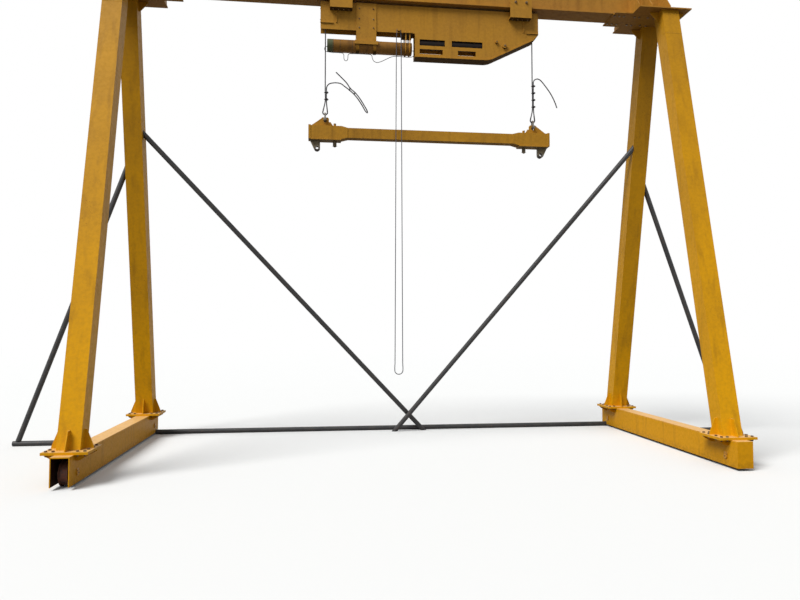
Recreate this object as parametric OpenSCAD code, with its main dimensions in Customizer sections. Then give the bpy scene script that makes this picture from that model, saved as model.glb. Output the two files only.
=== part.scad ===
// Single girder gantry crane with an underslung hoist and a long spreader beam.
// X runs along the girder, Y along the rails, Z up from the rail tread; lengths in mm.

/* [Overall] */
// Distance between the centre lines of the two rails
gauge = 7340; // [6400:10:8400]
// Height of the head plates' underside above the wheels' lowest point
head_z = 6000; // [5200:10:6600]

/* [End carriages] */
// Length of an end carriage along its rail
carriage_len = 3560; // [3300:10:4200]
// Width of an end carriage over its side plates
carriage_w = 190; // [170:1:230]
// Height of the carriage side plates
carriage_h = 288; // [270:1:330]
// Gap under the carriage side plates
carriage_lift = 30; // [20:1:45]
// Thickness of the carriage side plates
carriage_side_t = 10; // [6:1:16]
// Thickness of the carriage top plate
carriage_top_t = 12; // [8:1:20]
// Thickness of the carriage bottom plate
carriage_floor_t = 8; // [6:1:14]
// Thickness of the plates that close the carriage ends
end_cap_t = 8; // [5:1:14]
// Distance from the carriage end to the middle of a travel wheel
wheel_inset = 215; // [170:1:300]
// Gap between a travel wheel and the bottom plate's end
wheel_bay_gap = 40; // [20:1:90]

/* [Travel wheels] */
// Diameter of the wheel tread
tread_d = 240; // [200:1:250]
// Diameter over the wheel flanges
wheel_flange_d = 268; // [256:1:274]
// Width of the tread between the flanges
tread_w = 62; // [50:1:70]
// Thickness of each wheel flange
wheel_flange_t = 14; // [8:1:18]
// Depth of the recess turned into each wheel face
wheel_recess = 16; // [8:1:24]
// Diameter of the wheel hub
hub_d = 110; // [95:1:130]
// Width of the wheel hub
hub_w = 124; // [100:1:136]
// Diameter of the fixed axle
axle_d = 60; // [40:1:70]
// Radial clearance of a wheel on its axle
axle_fit = 0.4; // [0.2:0.1:1]
// Length of the axle that stands out of each side plate
axle_out = 14; // [10:1:30]
// Thickness of the keeper plate that locks the axle
keeper_t = 8; // [5:1:12]

/* [Legs] */
// Width of a leg across the crane
leg_w = 240; // [200:1:280]
// Width of a leg along the rail
leg_d = 215; // [180:1:250]
// Wall thickness of a leg
leg_t = 8; // [5:1:14]
// Distance from the crane's middle to a leg's foot along the rail
leg_foot_y = 1456; // [1300:1:1500]
// Distance from the crane's middle to a leg's top along the rail
leg_head_y = 262; // [230:1:290]
// Width of a foot flange across the crane
foot_w = 460; // [420:1:520]
// Width of a foot flange along the rail
foot_d = 430; // [400:1:480]
// Thickness of the flange welded to a leg
foot_t = 16; // [10:1:24]
// Thickness of the seat plate welded to a carriage
seat_t = 12; // [8:1:24]
// Height of the gussets round a foot
foot_gusset_h = 200; // [120:1:260]
// Reach of the gussets round a foot
foot_gusset_w = 92; // [60:1:98]
// Thickness of all gussets
gusset_t = 10; // [6:1:14]
// Height of a foot gusset's outer edge
gusset_nose = 22; // [10:1:40]
// Depth of the brackets under a seat plate
seat_bracket_h = 70; // [40:1:110]
// Distance of the pad eye on a leg below the head plate
pad_eye_drop = 200; // [160:1:320]
// Size of that pad eye
pad_eye_w = 56; // [44:1:80]
// Diameter of the hole in the pad eye
pad_eye_hole_d = 22; // [14:1:26]

/* [Girder] */
// Distance from the rail's centre line to the girder's lower end
girder_over = 180; // [150:1:240]
// How much shorter the girder's top is at each end
girder_slant = 200; // [120:1:260]
// Height of the girder over its flanges
girder_h = 530; // [460:1:600]
// Width of the girder flanges
girder_flange_w = 290; // [270:1:330]
// Thickness of the girder flanges
girder_flange_t = 14; // [10:1:20]
// Width of the girder box over its webs
girder_box_w = 184; // [160:1:200]
// Thickness of the webs and end plates
web_t = 8; // [6:1:12]

/* [Head plates] */
// Reach of a head plate from the rail's centre line towards the middle
head_in = 465; // [380:1:520]
// Reach of a head plate from the rail's centre line outwards
head_out = 288; // [250:1:340]
// Width of a head plate along the rail
head_d = 840; // [800:1:920]
// Reach of the head plate's tongue from the rail's centre line towards the middle
tongue_in = 715; // [560:1:760]
// Width of the head plate's tongue
tongue_d = 420; // [320:1:480]
// Thickness of a head plate
head_t = 16; // [10:1:24]
// Height of the gussets under a head plate
head_gusset_h = 130; // [80:1:200]
// Reach of the gussets under a head plate
head_gusset_w = 120; // [60:1:150]
// Height of the side brackets that stand on a head plate
side_bracket_h = 400; // [280:1:440]
// Reach of the side brackets from the girder web
side_bracket_w = 290; // [200:1:310]
// Height of a side bracket's outer edge
side_bracket_nose = 40; // [20:1:80]
// Distance between the two inner side brackets
bracket_pitch = 190; // [120:1:240]

/* [Hoist trolley] */
// Distance of the trolley's middle from the crane's middle
trolley_x = 380; // [-600:10:600]
// Length of the trolley frame
trolley_len = 3000; // [2800:10:3200]
// Width of the trolley frame over its side plates
trolley_w = 150; // [130:1:180]
// Thickness of the trolley side plates
trolley_t = 10; // [6:1:14]
// Gap between the girder and the trolley frame
trolley_gap = 34; // [20:1:60]
// Depth of the trolley frame's shallow part below the girder
frame_depth = 410; // [360:1:440]
// Depth of the trolley frame's deep part below the girder
deep_depth = 720; // [680:1:780]
// Place of the deep part's upright edge
deep_from = -230; // [-300:1:-200]
// Place where the deep part starts to slope up
slope_from = 800; // [760:1:900]
// Radius of the deep part's lower corner
slope_r = 260; // [100:1:400]
// Depth of the frame's end below the girder
tip_depth = 340; // [300:1:380]
// Cut of the lower corner at the frame's end
tip_cut = 60; // [30:1:90]
// Thickness of the strip along the deep part's lower edge
strip_t = 12; // [8:1:16]
// Overhang of that strip beyond the side plates
strip_lip = 14; // [5:1:25]
// Thickness of the plates that hold the ropes' upper ends
anchor_t = 20; // [12:1:30]
// Gap round a rope where it passes the strip
rope_room = 12; // [8:1:20]
// Distance from the frame's end to its upright stiffener
stiffener_inset = 215; // [190:1:240]
// Distance from the frame's end to its shelf
shelf_inset = 170; // [120:1:185]
// Depth of the shelf below the girder
shelf_depth = 318; // [290:1:335]
// Thickness of the stiffener and the shelf
stiffener_t = 12; // [8:1:16]
// Width by which the stiffener and the shelf stand out
stiffener_out = 14; // [8:1:24]
// Diameter of the large boss on a side plate
boss_d = 70; // [50:1:90]
// Place of the large boss
boss_x = 1020; // [980:1:1060]
// Depth of the large boss below the girder
boss_depth = 520; // [490:1:530]
// Diameter of the small boss on a side plate
small_boss_d = 40; // [30:1:50]
// Place of the small boss
small_boss_x = 905; // [880:1:925]
// Depth of the small boss below the girder
small_boss_depth = 470; // [440:1:490]
// Width by which the bosses stand out
boss_out = 30; // [12:1:40]

/* [Rope drum] */
// Gap between the rope drum's casing and the side plates
drum_seat = 0.3; // [0.1:0.1:0.6]

/* [Trolley windows] */
// Length of the short slot in the side plates
slot_short = 350; // [280:1:400]
// Length of the long slot in the side plates
slot_long = 430; // [380:1:460]
// Height of the slots
slot_h = 84; // [60:1:100]
// Depth of the slots' middle below the girder
slot_depth = 525; // [500:1:540]
// Place of the short slot's left end
slot_from = -165; // [-190:1:-150]
// Distance between the two slots
slot_gap = 95; // [60:1:120]
// Height of the low windows
low_window_h = 66; // [50:1:80]
// Metal left under the low windows
low_window_rim = 26; // [20:1:40]
// Length of the left low window
low_left = 320; // [280:1:340]
// Length of the right low window
low_right = 250; // [200:1:280]

/* [Bogies] */
// Distance from the frame's end to a bogie's middle
bogie_inset = 270; // [200:1:330]
// Length of a bogie yoke plate
bogie_len = 300; // [280:1:340]
// Gap between a yoke plate and the girder flange's edge
yoke_gap = 16; // [10:1:25]
// Thickness of a yoke plate
yoke_t = 12; // [8:1:16]
// Height of a yoke plate above the flange's running face
yoke_up = 118; // [100:1:140]
// Depth of a yoke plate below the girder
yoke_down = 150; // [120:1:180]
// Diameter of the trolley wheels
roller_d = 100; // [80:1:110]
// Width of the trolley wheels
roller_w = 34; // [26:1:38]
// Distance between the two wheels on one yoke plate
roller_pitch = 150; // [120:1:170]
// Gap between a trolley wheel and the flange it runs on
roller_seat = 0.3; // [0.1:0.1:0.6]
// Gap between a trolley wheel and its yoke plate
roller_gap = 1; // [0.5:0.1:3]
// Diameter of the pins that carry the trolley wheels
roller_pin_d = 30; // [20:1:40]

/* [Hanging tube] */
// Diameter of the hanging tube
tube_d = 170; // [140:1:190]
// Wall thickness of the hanging tube
tube_wall = 8; // [5:1:12]
// Place of the tube's left end
tube_from = -1410; // [-1440:1:-1380]
// Place of the tube's right end
tube_to = -270; // [-300:1:-250]
// Depth of the tube's axis below the girder
tube_depth = 602; // [580:1:620]
// Thickness of the tube's end discs
tube_cap_t = 6; // [4:1:10]
// Place of the hanger's middle
hanger_x = -890; // [-1000:1:-700]
// Width of the hanger
hanger_w = 270; // [220:1:320]
// Thickness of the hanger's plates
hanger_t = 12; // [8:1:16]
// Height of the hanger's foot on the tube
clamp_h = 46; // [30:1:60]
// Overhang of the hanger's foot
clamp_t = 22; // [10:1:30]
// Width of the straps under the tube
strap_w = 40; // [25:1:60]
// Thickness of the straps under the tube
strap_t = 6; // [4:1:10]
// Gap between the tube and its hanger
tube_seat = 0.3; // [0.1:0.1:0.6]
// Diameter of the glands in the tube's end discs
gland_d = 18; // [14:1:24]
// Length of those glands
gland_t = 6; // [4:1:8]
// Distance of a gland's middle below the tube's axis
gland_drop = 26; // [20:1:40]
// Distance of a gland's middle in front of the tube's axis
gland_side = 25; // [18:1:40]

/* [Tube clamps] */
// Rod diameter of the U-bolts round the tube
u_bolt_d = 16; // [10:1:20]
// Distance from the tube's right end to the first U-bolt
u_bolt_inset = 30; // [24:1:50]
// Distance between the two U-bolts
u_bolt_pitch = 55; // [50:1:70]
// Length of the plate that the U-bolts hang from
u_plate_l = 140; // [120:1:150]
// Width of that plate
u_plate_w = 230; // [224:1:260]
// Thickness of that plate
u_plate_t = 12; // [8:1:16]
// Width of the U-bolts' nuts across the corners
u_nut_d = 28; // [24:1:32]
// Height of the nuts
u_nut_h = 14; // [10:1:18]

/* [Hand line] */
// Place of the peg that the hand line hangs over
peg_x = -452; // [-470:1:-440]
// Depth of that peg below the girder
peg_depth = 380; // [372:1:388]
// Diameter of the peg
line_peg_d = 34; // [30:1:36]
// Length of the peg
line_peg_len = 50; // [40:1:60]
// Diameter of the peg's head
line_peg_head_d = 54; // [46:1:60]
// Thickness of the peg's head
line_peg_head_t = 6; // [4:1:10]
// Diameter of the hand line
line_d = 12; // [10:1:12]
// Diameter of the lead under the tube
lead_d = 8; // [6:1:8]

/* [Spreader] */
// Length of the spreader
spreader_len = 3310; // [3150:10:3500]
// Depth of the spreader's centre line below the girder
spreader_depth = 1800; // [1700:10:2400]
// Height of the spreader's beam
beam_h = 134; // [110:1:160]
// Width of the spreader's beam
beam_w = 120; // [100:1:130]
// Wall thickness of the spreader's beam
beam_wall = 8; // [5:1:12]
// Length of a spreader end box with its neck
end_box_len = 520; // [500:1:600]
// Height of a spreader end box
end_box_h = 175; // [165:1:200]
// Width of a spreader end box
end_box_w = 132; // [130:1:160]
// Length of the tapered neck beside an end box
neck_len = 80; // [50:1:84]
// Thickness of the plate that closes a spreader end
end_plate_t = 30; // [16:1:40]
// Lip of that plate round the end box
end_plate_lip = 6; // [3:1:12]
// Length of the sole plate under an end box
sole_len = 434; // [410:1:440]
// Thickness of the sole plate
sole_t = 16; // [10:1:20]
// Lip of the sole plate beside the end box
sole_lip = 10; // [5:1:16]
// Distance from the spreader's end to its locking pin
pin_inset = 350; // [340:1:370]
// Diameter of a locking pin below the end box
pin_d = 50; // [40:1:60]
// Length of a locking pin below the sole plate
pin_len = 80; // [60:1:110]
// Height of the pin's rounded tip
pin_tip = 12; // [6:1:18]
// Diameter of a locking pin's head on top of the end box
pin_head_d = 35; // [28:1:38]
// Height of a locking pin's head
pin_head_h = 45; // [30:1:60]

/* [Hook lugs] */
// Distance from the spreader's end to a hook lug's hole
hook_inset = 115; // [100:1:140]
// Diameter of a hook lug's round lower end
hook_lug_d = 80; // [70:1:90]
// Distance from a hook lug's hole to its outer upper corner
hook_shoulder = 92; // [70:1:95]
// Thickness of a hook lug
hook_lug_t = 62; // [40:1:80]
// Drop of the hook lug's hole below the sole plate
hook_drop = 100; // [80:1:120]
// Diameter of the hole in a hook lug
hook_hole_d = 40; // [30:1:46]

/* [Eye lugs] */
// Height of the eye lug on the spreader
eye_h = 125; // [115:1:150]
// Half of the eye lug's width at its top
eye_half = 52; // [44:1:56]
// Reach of the eye lug's foot towards the spreader's end
eye_foot = 176; // [120:1:190]
// Height of the foot's outer edge
eye_toe = 18; // [8:1:30]
// Cut of the eye lug's upper corners
eye_cut = 16; // [8:1:20]
// Thickness of the eye lug
eye_t = 20; // [14:1:26]
// Diameter of the hole in the eye lug
eye_hole_d = 44; // [32:1:48]
// Metal above the hole in the eye lug
eye_rim = 23; // [16:1:28]
// Reach of the gusset beside the eye lug
eye_gusset_w = 50; // [30:1:54]
// Height of the gusset beside the eye lug
eye_gusset_h = 65; // [40:1:90]

/* [Ropes] */
// Distance from the trolley frame's end to a hoist rope
rope_inset = 65; // [50:1:90]
// Diameter of a hoist rope
rope_d = 16; // [12:1:18]
// Gap between a rope's end and what it pulls on
rope_seat = 0.3; // [0.1:0.1:0.8]

/* [Rope ends] */
// Diameter of a shackle's bow
shackle_rod = 22; // [16:1:24]
// Diameter of a shackle's pin
shackle_pin_d = 24; // [18:1:28]
// Gap between the two sides of a shackle
shackle_jaw = 32; // [30:1:40]
// Diameter of a shackle's ears
shackle_ear_d = 46; // [40:1:50]
// Length inside a shackle, from its pin to its bow
shackle_in = 70; // [64:1:90]
// Thickness of the head and the nut on a shackle's pin
shackle_nut_t = 12; // [8:1:16]
// Inner radius of a rope's eye
eye_r = 24; // [24:1:30]
// Distance from the middle of the eye's round to its throat
throat_h = 150; // [130:1:180]
// Gap between the two strands of the doubled rope
strand_gap = 1; // [0.5:0.1:3]
// Length of the doubled rope above the left eye
doubled_left = 150; // [100:5:200]
// Length of the doubled rope above the right eye
doubled_right = 362; // [200:1:400]

/* [Braces] */
// Diameter of the temporary bracing pipes
brace_d = 70; // [48:1:80]
// Height where the inner braces meet the far legs
brace_in_z = 4300; // [3800:10:4600]
// Height where the outer braces meet the far legs
brace_out_z = 3850; // [3400:10:4200]
// Place of the left inner brace's foot along the girder
brace_left_foot_x = 520; // [300:10:700]
// Place of the right inner brace's foot along the girder
brace_right_foot_x = 50; // [-100:10:200]
// Distance of the ground tie from the crane's middle along the rail
tie_y = 1655; // [1620:1:1700]
// Distance from the rail's centre line to an outer brace's foot
brace_reach = 1520; // [1200:10:1800]
// Place of the outer braces' feet along the rail
brace_foot_y = 850; // [700:10:1000]
// Gap left at the braces' welded ends
brace_seat = 0.3; // [0.1:0.1:0.8]
// Wall thickness of the bracing pipes
brace_wall = 5; // [3:1:8]
// Gap between the two inner braces where they cross
brace_gap = 8; // [6:1:30]

/* [Hidden] */
$fn = 48;
yellow = [0.86, 0.62, 0.06];
primer = [0.36, 0.16, 0.10];
black = [0.10, 0.11, 0.12];
steel = [0.45, 0.45, 0.44];
eps = 1;
// Number of straight steps in the trolley's rounded corner
arc_steps = 6;
// Number of sides of a cord
cord_sides = 8;
// Number of straight steps in each half of a rope's eye
eye_steps = 4;
// Share of its length by which a brace is made too long before its ends are cut
over_share = 0.05;

rail_x = gauge / 2;
wheel_z = wheel_flange_d / 2;
wheel_y = carriage_len / 2 - wheel_inset;
side_z = carriage_lift + carriage_h;
seat_z = side_z + carriage_top_t;
foot_z = seat_z + seat_t;
leg_z = foot_z + foot_t;
girder_z = head_z + head_t;
girder_half = rail_x + girder_over;
run_z = girder_z + girder_flange_t;
web_h = girder_h - 2 * girder_flange_t;
leg_slope = (leg_foot_y - leg_head_y) / (head_z - leg_z);
spreader_z = girder_z - spreader_depth;
rope_x = trolley_len / 2 - rope_inset;
box_top_z = spreader_z + end_box_h / 2;
eye_up = eye_h - eye_rim - eye_hole_d / 2;
shackle_z = box_top_z + eye_up + (eye_hole_d - shackle_pin_d) / 2 - rope_seat;
crown_z = shackle_z + shackle_pin_d / 2 + shackle_in;
loop_z = crown_z - rope_seat + eye_r;
loop_r = eye_r + rope_d / 2;
throat_z = loop_z + throat_h;
strand_pitch = rope_d + strand_gap;
gland_z = -tube_depth - gland_drop;

// Routes of the cords: [x, y, z] from the trolley's middle and the girder's underside
hand_line_route = [
    [-455, -100, -356], [-462, -100, -358], [-469, -100, -363], [-474, -100, -370], [-476.5, -100, -380],
    [-479, -101, -420], [-485, -103, -540], [-503, -108, -4850], [-506, -108, -4960], [-496, -108, -4992],
    [-469, -108, -5011], [-435, -108, -5011], [-408, -108, -4992], [-398, -108, -4960], [-401, -108, -4850],
    [-421, -103, -540], [-425, -101, -420], [-427.5, -100, -380], [-430, -100, -370], [-435, -100, -363],
    [-442, -100, -358], [-449, -100, -356]
];
lead_route = [
    [tube_from - gland_t - rope_seat, -gland_side, gland_z], [-1424, -gland_side, gland_z], [-1438, -25, -634],
    [-1445, -25, -648], [-1445, -25, -672], [-1438, -23, -686], [-1423, -20, -693], [-1360, 0, -693.5],
    [-1216, 0, -695], [-1195, 0, -706], [-1188, 0, -726], [-1186, 0, -766], [-1179, 0, -790], [-1160, 0, -800],
    [-1141, 0, -790], [-1134, 0, -766], [-1130, 0, -722], [-1120, 0, -706], [-1098, 0, -699], [-836, 0, -698],
    [-812, 0, -708], [-803, 0, -740], [-785, 0, -782], [-742, 0, -802], [-690, 0, -790], [-600, 0, -744],
    [-530, 0, -712], [-440, 0, -703], [-362, 0, -708.5], [-290, -3, -708.5], [-258, -14, -707],
    [-243, -22, -699], [-237, -25, -684], [-237, -25, -648], [-243, -25, -634], [-256, -gland_side, gland_z],
    [tube_to + gland_t + rope_seat, -gland_side, gland_z]
];

// Routes of the ropes' free tails: [x, y, z] from the top of the doubled rope on the main strand's axis
tail_left_route = [
    [strand_pitch, 0, rope_seat], [strand_pitch, 0, 24], [22, -3, 50], [36, -9, 72], [57, -18, 86],
    [86, -29, 92], [135, -50, 91], [203, -85, 70], [258, -107, 24], [317, -122, -26], [375, -128, -78],
    [432, -130, -145], [488, -122, -225], [528, -106, -288], [549, -122, -319], [557, -159, -332],
    [549, -196, -319], [528, -212, -288], [460, -190, -168], [397, -165, -78], [330, -146, -12],
    [283, -140, 58], [215, -135, 130], [141, -130, 202]
];
tail_right_route = [
    [strand_pitch, 0, rope_seat], [strand_pitch, 0, 22], [21, -2, 43], [34, -4, 62], [56, -7, 74],
    [84, -9, 75], [112, -12, 60], [140, -16, 30], [190, -22, -36], [249, -28, -122], [290, -33, -200],
    [320, -37, -272], [340, -40, -334]
];

// Draws its children on one side of the crane: -1 is left and 1 is right
module on_side(side) { translate([side * rail_x, 0, 0]) mirror([side < 0 ? 1 : 0, 0, 0]) children(); }

// Draws its children at the near end and the far end of a carriage
module both_ends() { children(); mirror([0, 1, 0]) children(); }

// Extrudes a profile drawn in the YZ plane by a width centred on X
module along_x(width) { translate([-width / 2, 0, 0]) rotate([90, 0, 90]) linear_extrude(width) children(); }

// Extrudes a profile drawn in the XZ plane by a width centred on Y
module along_y(width) { translate([0, width / 2, 0]) rotate([90, 0, 0]) linear_extrude(width) children(); }

// A triangular gusset standing on z = 0 and reaching out along +X
module gusset(reach, height, nose) {
    along_y(gusset_t) polygon([[0, 0], [reach, 0], [reach, nose], [nose, height], [0, height]]);
}

// A round bar between two points
module bar(a, b, d) {
    v = b - a;
    translate(a) rotate([0, acos(v.z / norm(v)), atan2(v.y, v.x)]) cylinder(d = d, h = norm(v));
}

function unit(v) = v / norm(v);

// The direction of a route at one of its points
function heading(route, i) = unit(route[min(i + 1, len(route) - 1)] - route[max(i - 1, 0)]);

// A direction square to the route, carried along from its start so that the cord doesn't twist
function side_at(route, i) = i == 0 ? unit(cross([0, 1, 0], heading(route, 0))) :
    let (last = side_at(route, i - 1), ahead = heading(route, i)) unit(last - (last * ahead) * ahead);

// A cord: one ring of points at each point of its route, closed into a tube
module cord(route, d) {
    last = len(route) - 1;
    points = [for (i = [0:last]) let (u = side_at(route, i), w = cross(heading(route, i), u))
        for (k = [0:cord_sides - 1])
            let (a = 360 * k / cord_sides) route[i] + d / 2 * (cos(a) * u + sin(a) * w)];
    walls = [for (i = [0:last - 1], k = [0:cord_sides - 1])
        let (a = i * cord_sides + k, b = i * cord_sides + (k + 1) % cord_sides)
        each [[a, a + cord_sides, b + cord_sides], [a, b + cord_sides, b]]];
    polyhedron(points, concat([[for (k = [0:cord_sides - 1]) k]], walls,
        [[for (k = [cord_sides - 1:-1:0]) last * cord_sides + k]]));
}

// One side plate of a carriage with its two axle holes
module carriage_side(x) {
    color(yellow) difference() {
        translate([x - carriage_side_t / 2, -carriage_len / 2, carriage_lift])
            cube([carriage_side_t, carriage_len, carriage_h]);
        for (y = [-wheel_y, wheel_y])
            translate([x - carriage_side_t, y, wheel_z]) rotate([0, 90, 0])
                cylinder(d = axle_d + 2 * axle_fit, h = 2 * carriage_side_t);
    }
}
side_x = (carriage_w - carriage_side_t) / 2;
module carriage_inner() { carriage_side(-side_x); }
module carriage_outer() { carriage_side(side_x); }

// The top plate with the two seat plates and their brackets, the bottom plate and the end caps
module carriage_top(caps) {
    bay = wheel_inset + wheel_flange_d / 2 + wheel_bay_gap;
    inside_w = carriage_w - 2 * carriage_side_t;
    color(yellow) {
        translate([-carriage_w / 2, -carriage_len / 2, side_z]) cube([carriage_w, carriage_len, carriage_top_t]);
        translate([-inside_w / 2, -carriage_len / 2 + bay, carriage_lift])
            cube([inside_w, carriage_len - 2 * bay, carriage_floor_t]);
        both_ends() translate([0, leg_foot_y, 0]) {
            translate([-foot_w / 2, -foot_d / 2, seat_z]) cube([foot_w, foot_d, seat_t]);
            for (side = [0, 1], y = [-foot_d / 3, foot_d / 3])
                mirror([side, 0, 0]) translate([carriage_w / 2, y, seat_z]) mirror([0, 0, 1])
                    gusset((foot_w - carriage_w) / 2 - gusset_nose, seat_bracket_h, gusset_nose);
        }
        for (y = [-1, 1]) if (caps[y > 0 ? 1 : 0])
            translate([-inside_w / 2, y * (carriage_len - end_cap_t) / 2 - end_cap_t / 2, carriage_lift])
                cube([inside_w, end_cap_t, carriage_h]);
    }
}

// The two fixed axles of a carriage with their keeper plates
module axles() {
    shaft_len = carriage_w + 2 * axle_out;
    color(steel) both_ends() translate([0, wheel_y, wheel_z]) {
        translate([-shaft_len / 2, 0, 0]) rotate([0, 90, 0]) cylinder(d = axle_d, h = shaft_len);
        for (side = [0, 1]) mirror([side, 0, 0]) translate([carriage_w / 2, -axle_d / 2, axle_d / 4])
            cube([keeper_t, axle_d, axle_d / 2]);
    }
}

// A double flanged travel wheel turned about its axle
module wheel() {
    rim = tread_w / 2 + wheel_flange_t;
    recess_r = tread_d / 2 - 2 * wheel_flange_t;
    color(primer) translate([0, wheel_y, wheel_z]) rotate([0, 90, 0]) rotate_extrude($fn = 72) polygon([
        [axle_d / 2 + axle_fit, -hub_w / 2], [hub_d / 2, -hub_w / 2], [hub_d / 2, wheel_recess - rim],
        [recess_r, wheel_recess - rim], [recess_r + wheel_flange_t / 2, -rim],
        [wheel_flange_d / 2, -rim], [wheel_flange_d / 2, -rim + wheel_flange_t / 3],
        [tread_d / 2, -tread_w / 2], [tread_d / 2, tread_w / 2],
        [wheel_flange_d / 2, rim - wheel_flange_t / 3], [wheel_flange_d / 2, rim],
        [recess_r + wheel_flange_t / 2, rim], [recess_r, rim - wheel_recess],
        [hub_d / 2, rim - wheel_recess], [hub_d / 2, hub_w / 2], [axle_d / 2 + axle_fit, hub_w / 2]
    ]);
}

// The outline of a leg in the YZ plane, grown by a margin that is negative for the inside
module leg_outline(margin) {
    polygon([
        [leg_foot_y - leg_d / 2 - margin, leg_z], [leg_foot_y + leg_d / 2 + margin, leg_z],
        [leg_head_y + leg_d / 2 + margin, head_z], [leg_head_y - leg_d / 2 - margin, head_z]
    ]);
}

// A leaning box leg with its foot flange and gussets; it leans from +Y to the middle
module leg() {
    pad_eye_z = head_z - pad_eye_drop;
    color(yellow) {
        difference() {
            along_x(leg_w) leg_outline(0);
            along_x(leg_w - 2 * leg_t) leg_outline(-leg_t);
        }
        translate([-foot_w / 2, leg_foot_y - foot_d / 2, foot_z]) cube([foot_w, foot_d, foot_t]);
        translate([0, leg_foot_y, leg_z]) {
            for (side = [0, 1]) mirror([side, 0, 0])
                translate([leg_w / 2, -leg_slope * foot_gusset_h / 2, 0])
                    gusset(foot_gusset_w, foot_gusset_h, gusset_nose);
            for (face = [-1, 1]) let (lean = -face * leg_slope * foot_gusset_h)
                translate([0, face * leg_d / 2, 0]) rotate([0, 0, face * 90]) along_y(gusset_t) polygon([
                    [0, 0], [foot_gusset_w, 0], [foot_gusset_w, gusset_nose],
                    [max(lean, 0) + gusset_nose, foot_gusset_h], [lean, foot_gusset_h]
                ]);
        }
        translate([0, leg_head_y, head_z]) for (side = [0, 1]) mirror([side, 0, 0])
            translate([leg_w / 2, leg_slope * head_gusset_h / 2, 0]) mirror([0, 0, 1])
                gusset(head_gusset_w, head_gusset_h, gusset_nose);
        translate([leg_w / 2, leg_y(pad_eye_z), pad_eye_z]) along_y(gusset_t) difference() {
            union() {
                translate([0, -pad_eye_w / 2]) square([pad_eye_w / 2, pad_eye_w]);
                translate([pad_eye_w / 2, 0]) circle(d = pad_eye_w);
            }
            translate([pad_eye_w / 2, 0]) circle(d = pad_eye_hole_d);
        }
    }
}

// A head plate with the side brackets that stand on it against the girder
module head_plate() {
    lip = (girder_flange_w - girder_box_w) / 2;
    bracket_from = gusset_t - head_in;
    color(yellow) {
        translate([-head_in, -head_d / 2, head_z]) cube([head_in + head_out, head_d, head_t]);
        translate([-tongue_in, -tongue_d / 2, head_z]) cube([tongue_in - head_in + eps, tongue_d, head_t]);
        both_ends() for (x = [bracket_from, bracket_from + bracket_pitch, 0])
            translate([x, girder_box_w / 2, girder_z]) rotate([0, 0, 90]) along_y(gusset_t) polygon([
                [0, girder_flange_t], [lip, girder_flange_t], [lip, 0], [side_bracket_w, 0],
                [side_bracket_w, side_bracket_nose], [side_bracket_nose, side_bracket_h], [0, side_bracket_h]
            ]);
    }
}

module girder_bottom_flange() {
    color(yellow) translate([-girder_half, -girder_flange_w / 2, girder_z])
        cube([2 * girder_half, girder_flange_w, girder_flange_t]);
}

// How far the slanted end has moved in at a height above the girder's underside
function slant_at(z) = girder_slant * z / girder_h;

module girder_web() {
    low = girder_half - slant_at(girder_flange_t);
    high = girder_half - slant_at(girder_h - girder_flange_t);
    color(yellow) translate([0, (web_t - girder_box_w) / 2, run_z])
        along_y(web_t) polygon([[-low, 0], [low, 0], [high, web_h], [-high, web_h]]);
}

module girder_top_flange() {
    half = girder_half - slant_at(girder_h - girder_flange_t);
    color(yellow) translate([-half, -girder_flange_w / 2, girder_z + girder_h - girder_flange_t])
        cube([2 * half, girder_flange_w, girder_flange_t]);
}

// The slanted plate that closes an end of the box, set between the webs
module girder_end() {
    low = girder_over - slant_at(girder_flange_t);
    high = girder_over - slant_at(girder_h - girder_flange_t);
    color(yellow) translate([0, 0, run_z]) along_y(girder_box_w - 2 * web_t)
        polygon([[low - web_t, 0], [low, 0], [high, web_h], [high - web_t, web_h]]);
}

// A straight pipe between two points, cut open at both ends
module pipe(a, b) {
    over = unit(b - a) * eps;
    difference() {
        bar(a, b, brace_d);
        bar(a - over, b + over, brace_d - 2 * brace_wall);
    }
}

// The point on the line from a to b, past b by a share of its length
function past(a, b, share) = b + (b - a) * share;

function leg_y(z) = leg_foot_y - leg_slope * (z - leg_z);

// Cuts its child flush with a leg's inner or outer face and with a level plane
module trimmed(face_x, direction, floor_at) {
    room = 2 * brace_in_z;
    difference() {
        children();
        translate([face_x - (direction < 0 ? room : 0), -room / 2, -room / 2]) cube([room, room, 2 * room]);
        translate([-room / 2, -room / 2, floor_at - room]) cube([room, room, room]);
    }
}

// A brace from a far leg's inner face down to the floor beside the ground tie
module brace_inner(side, foot_x, shift) {
    face = side * (rail_x - leg_w / 2 - brace_seat);
    top = [face, leg_y(brace_in_z) + shift, brace_in_z];
    foot = [foot_x, tie_y - brace_d - brace_gap + shift, 0];
    color(black) trimmed(face, side, 0) pipe(past(foot, top, over_share), past(top, foot, over_share));
}

// A brace from a far leg's outer face down to the end of the foot tie
module brace_outer() {
    face = leg_w / 2 + brace_seat;
    top = [face, leg_y(brace_out_z), brace_out_z];
    foot = [brace_reach, brace_foot_y, brace_d];
    color(black) trimmed(face, -1, brace_d + brace_seat)
        pipe(past(foot, top, over_share), past(top, foot, over_share));
}

module ground_tie() {
    half = rail_x - carriage_w / 2 - brace_seat;
    color(black) pipe([-half, tie_y, brace_d / 2], [half, tie_y, brace_d / 2]);
}

module foot_tie() {
    color(black) pipe([carriage_w / 2 + brace_seat, brace_foot_y, brace_d / 2],
        [brace_reach + brace_d, brace_foot_y, brace_d / 2]);
}

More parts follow.
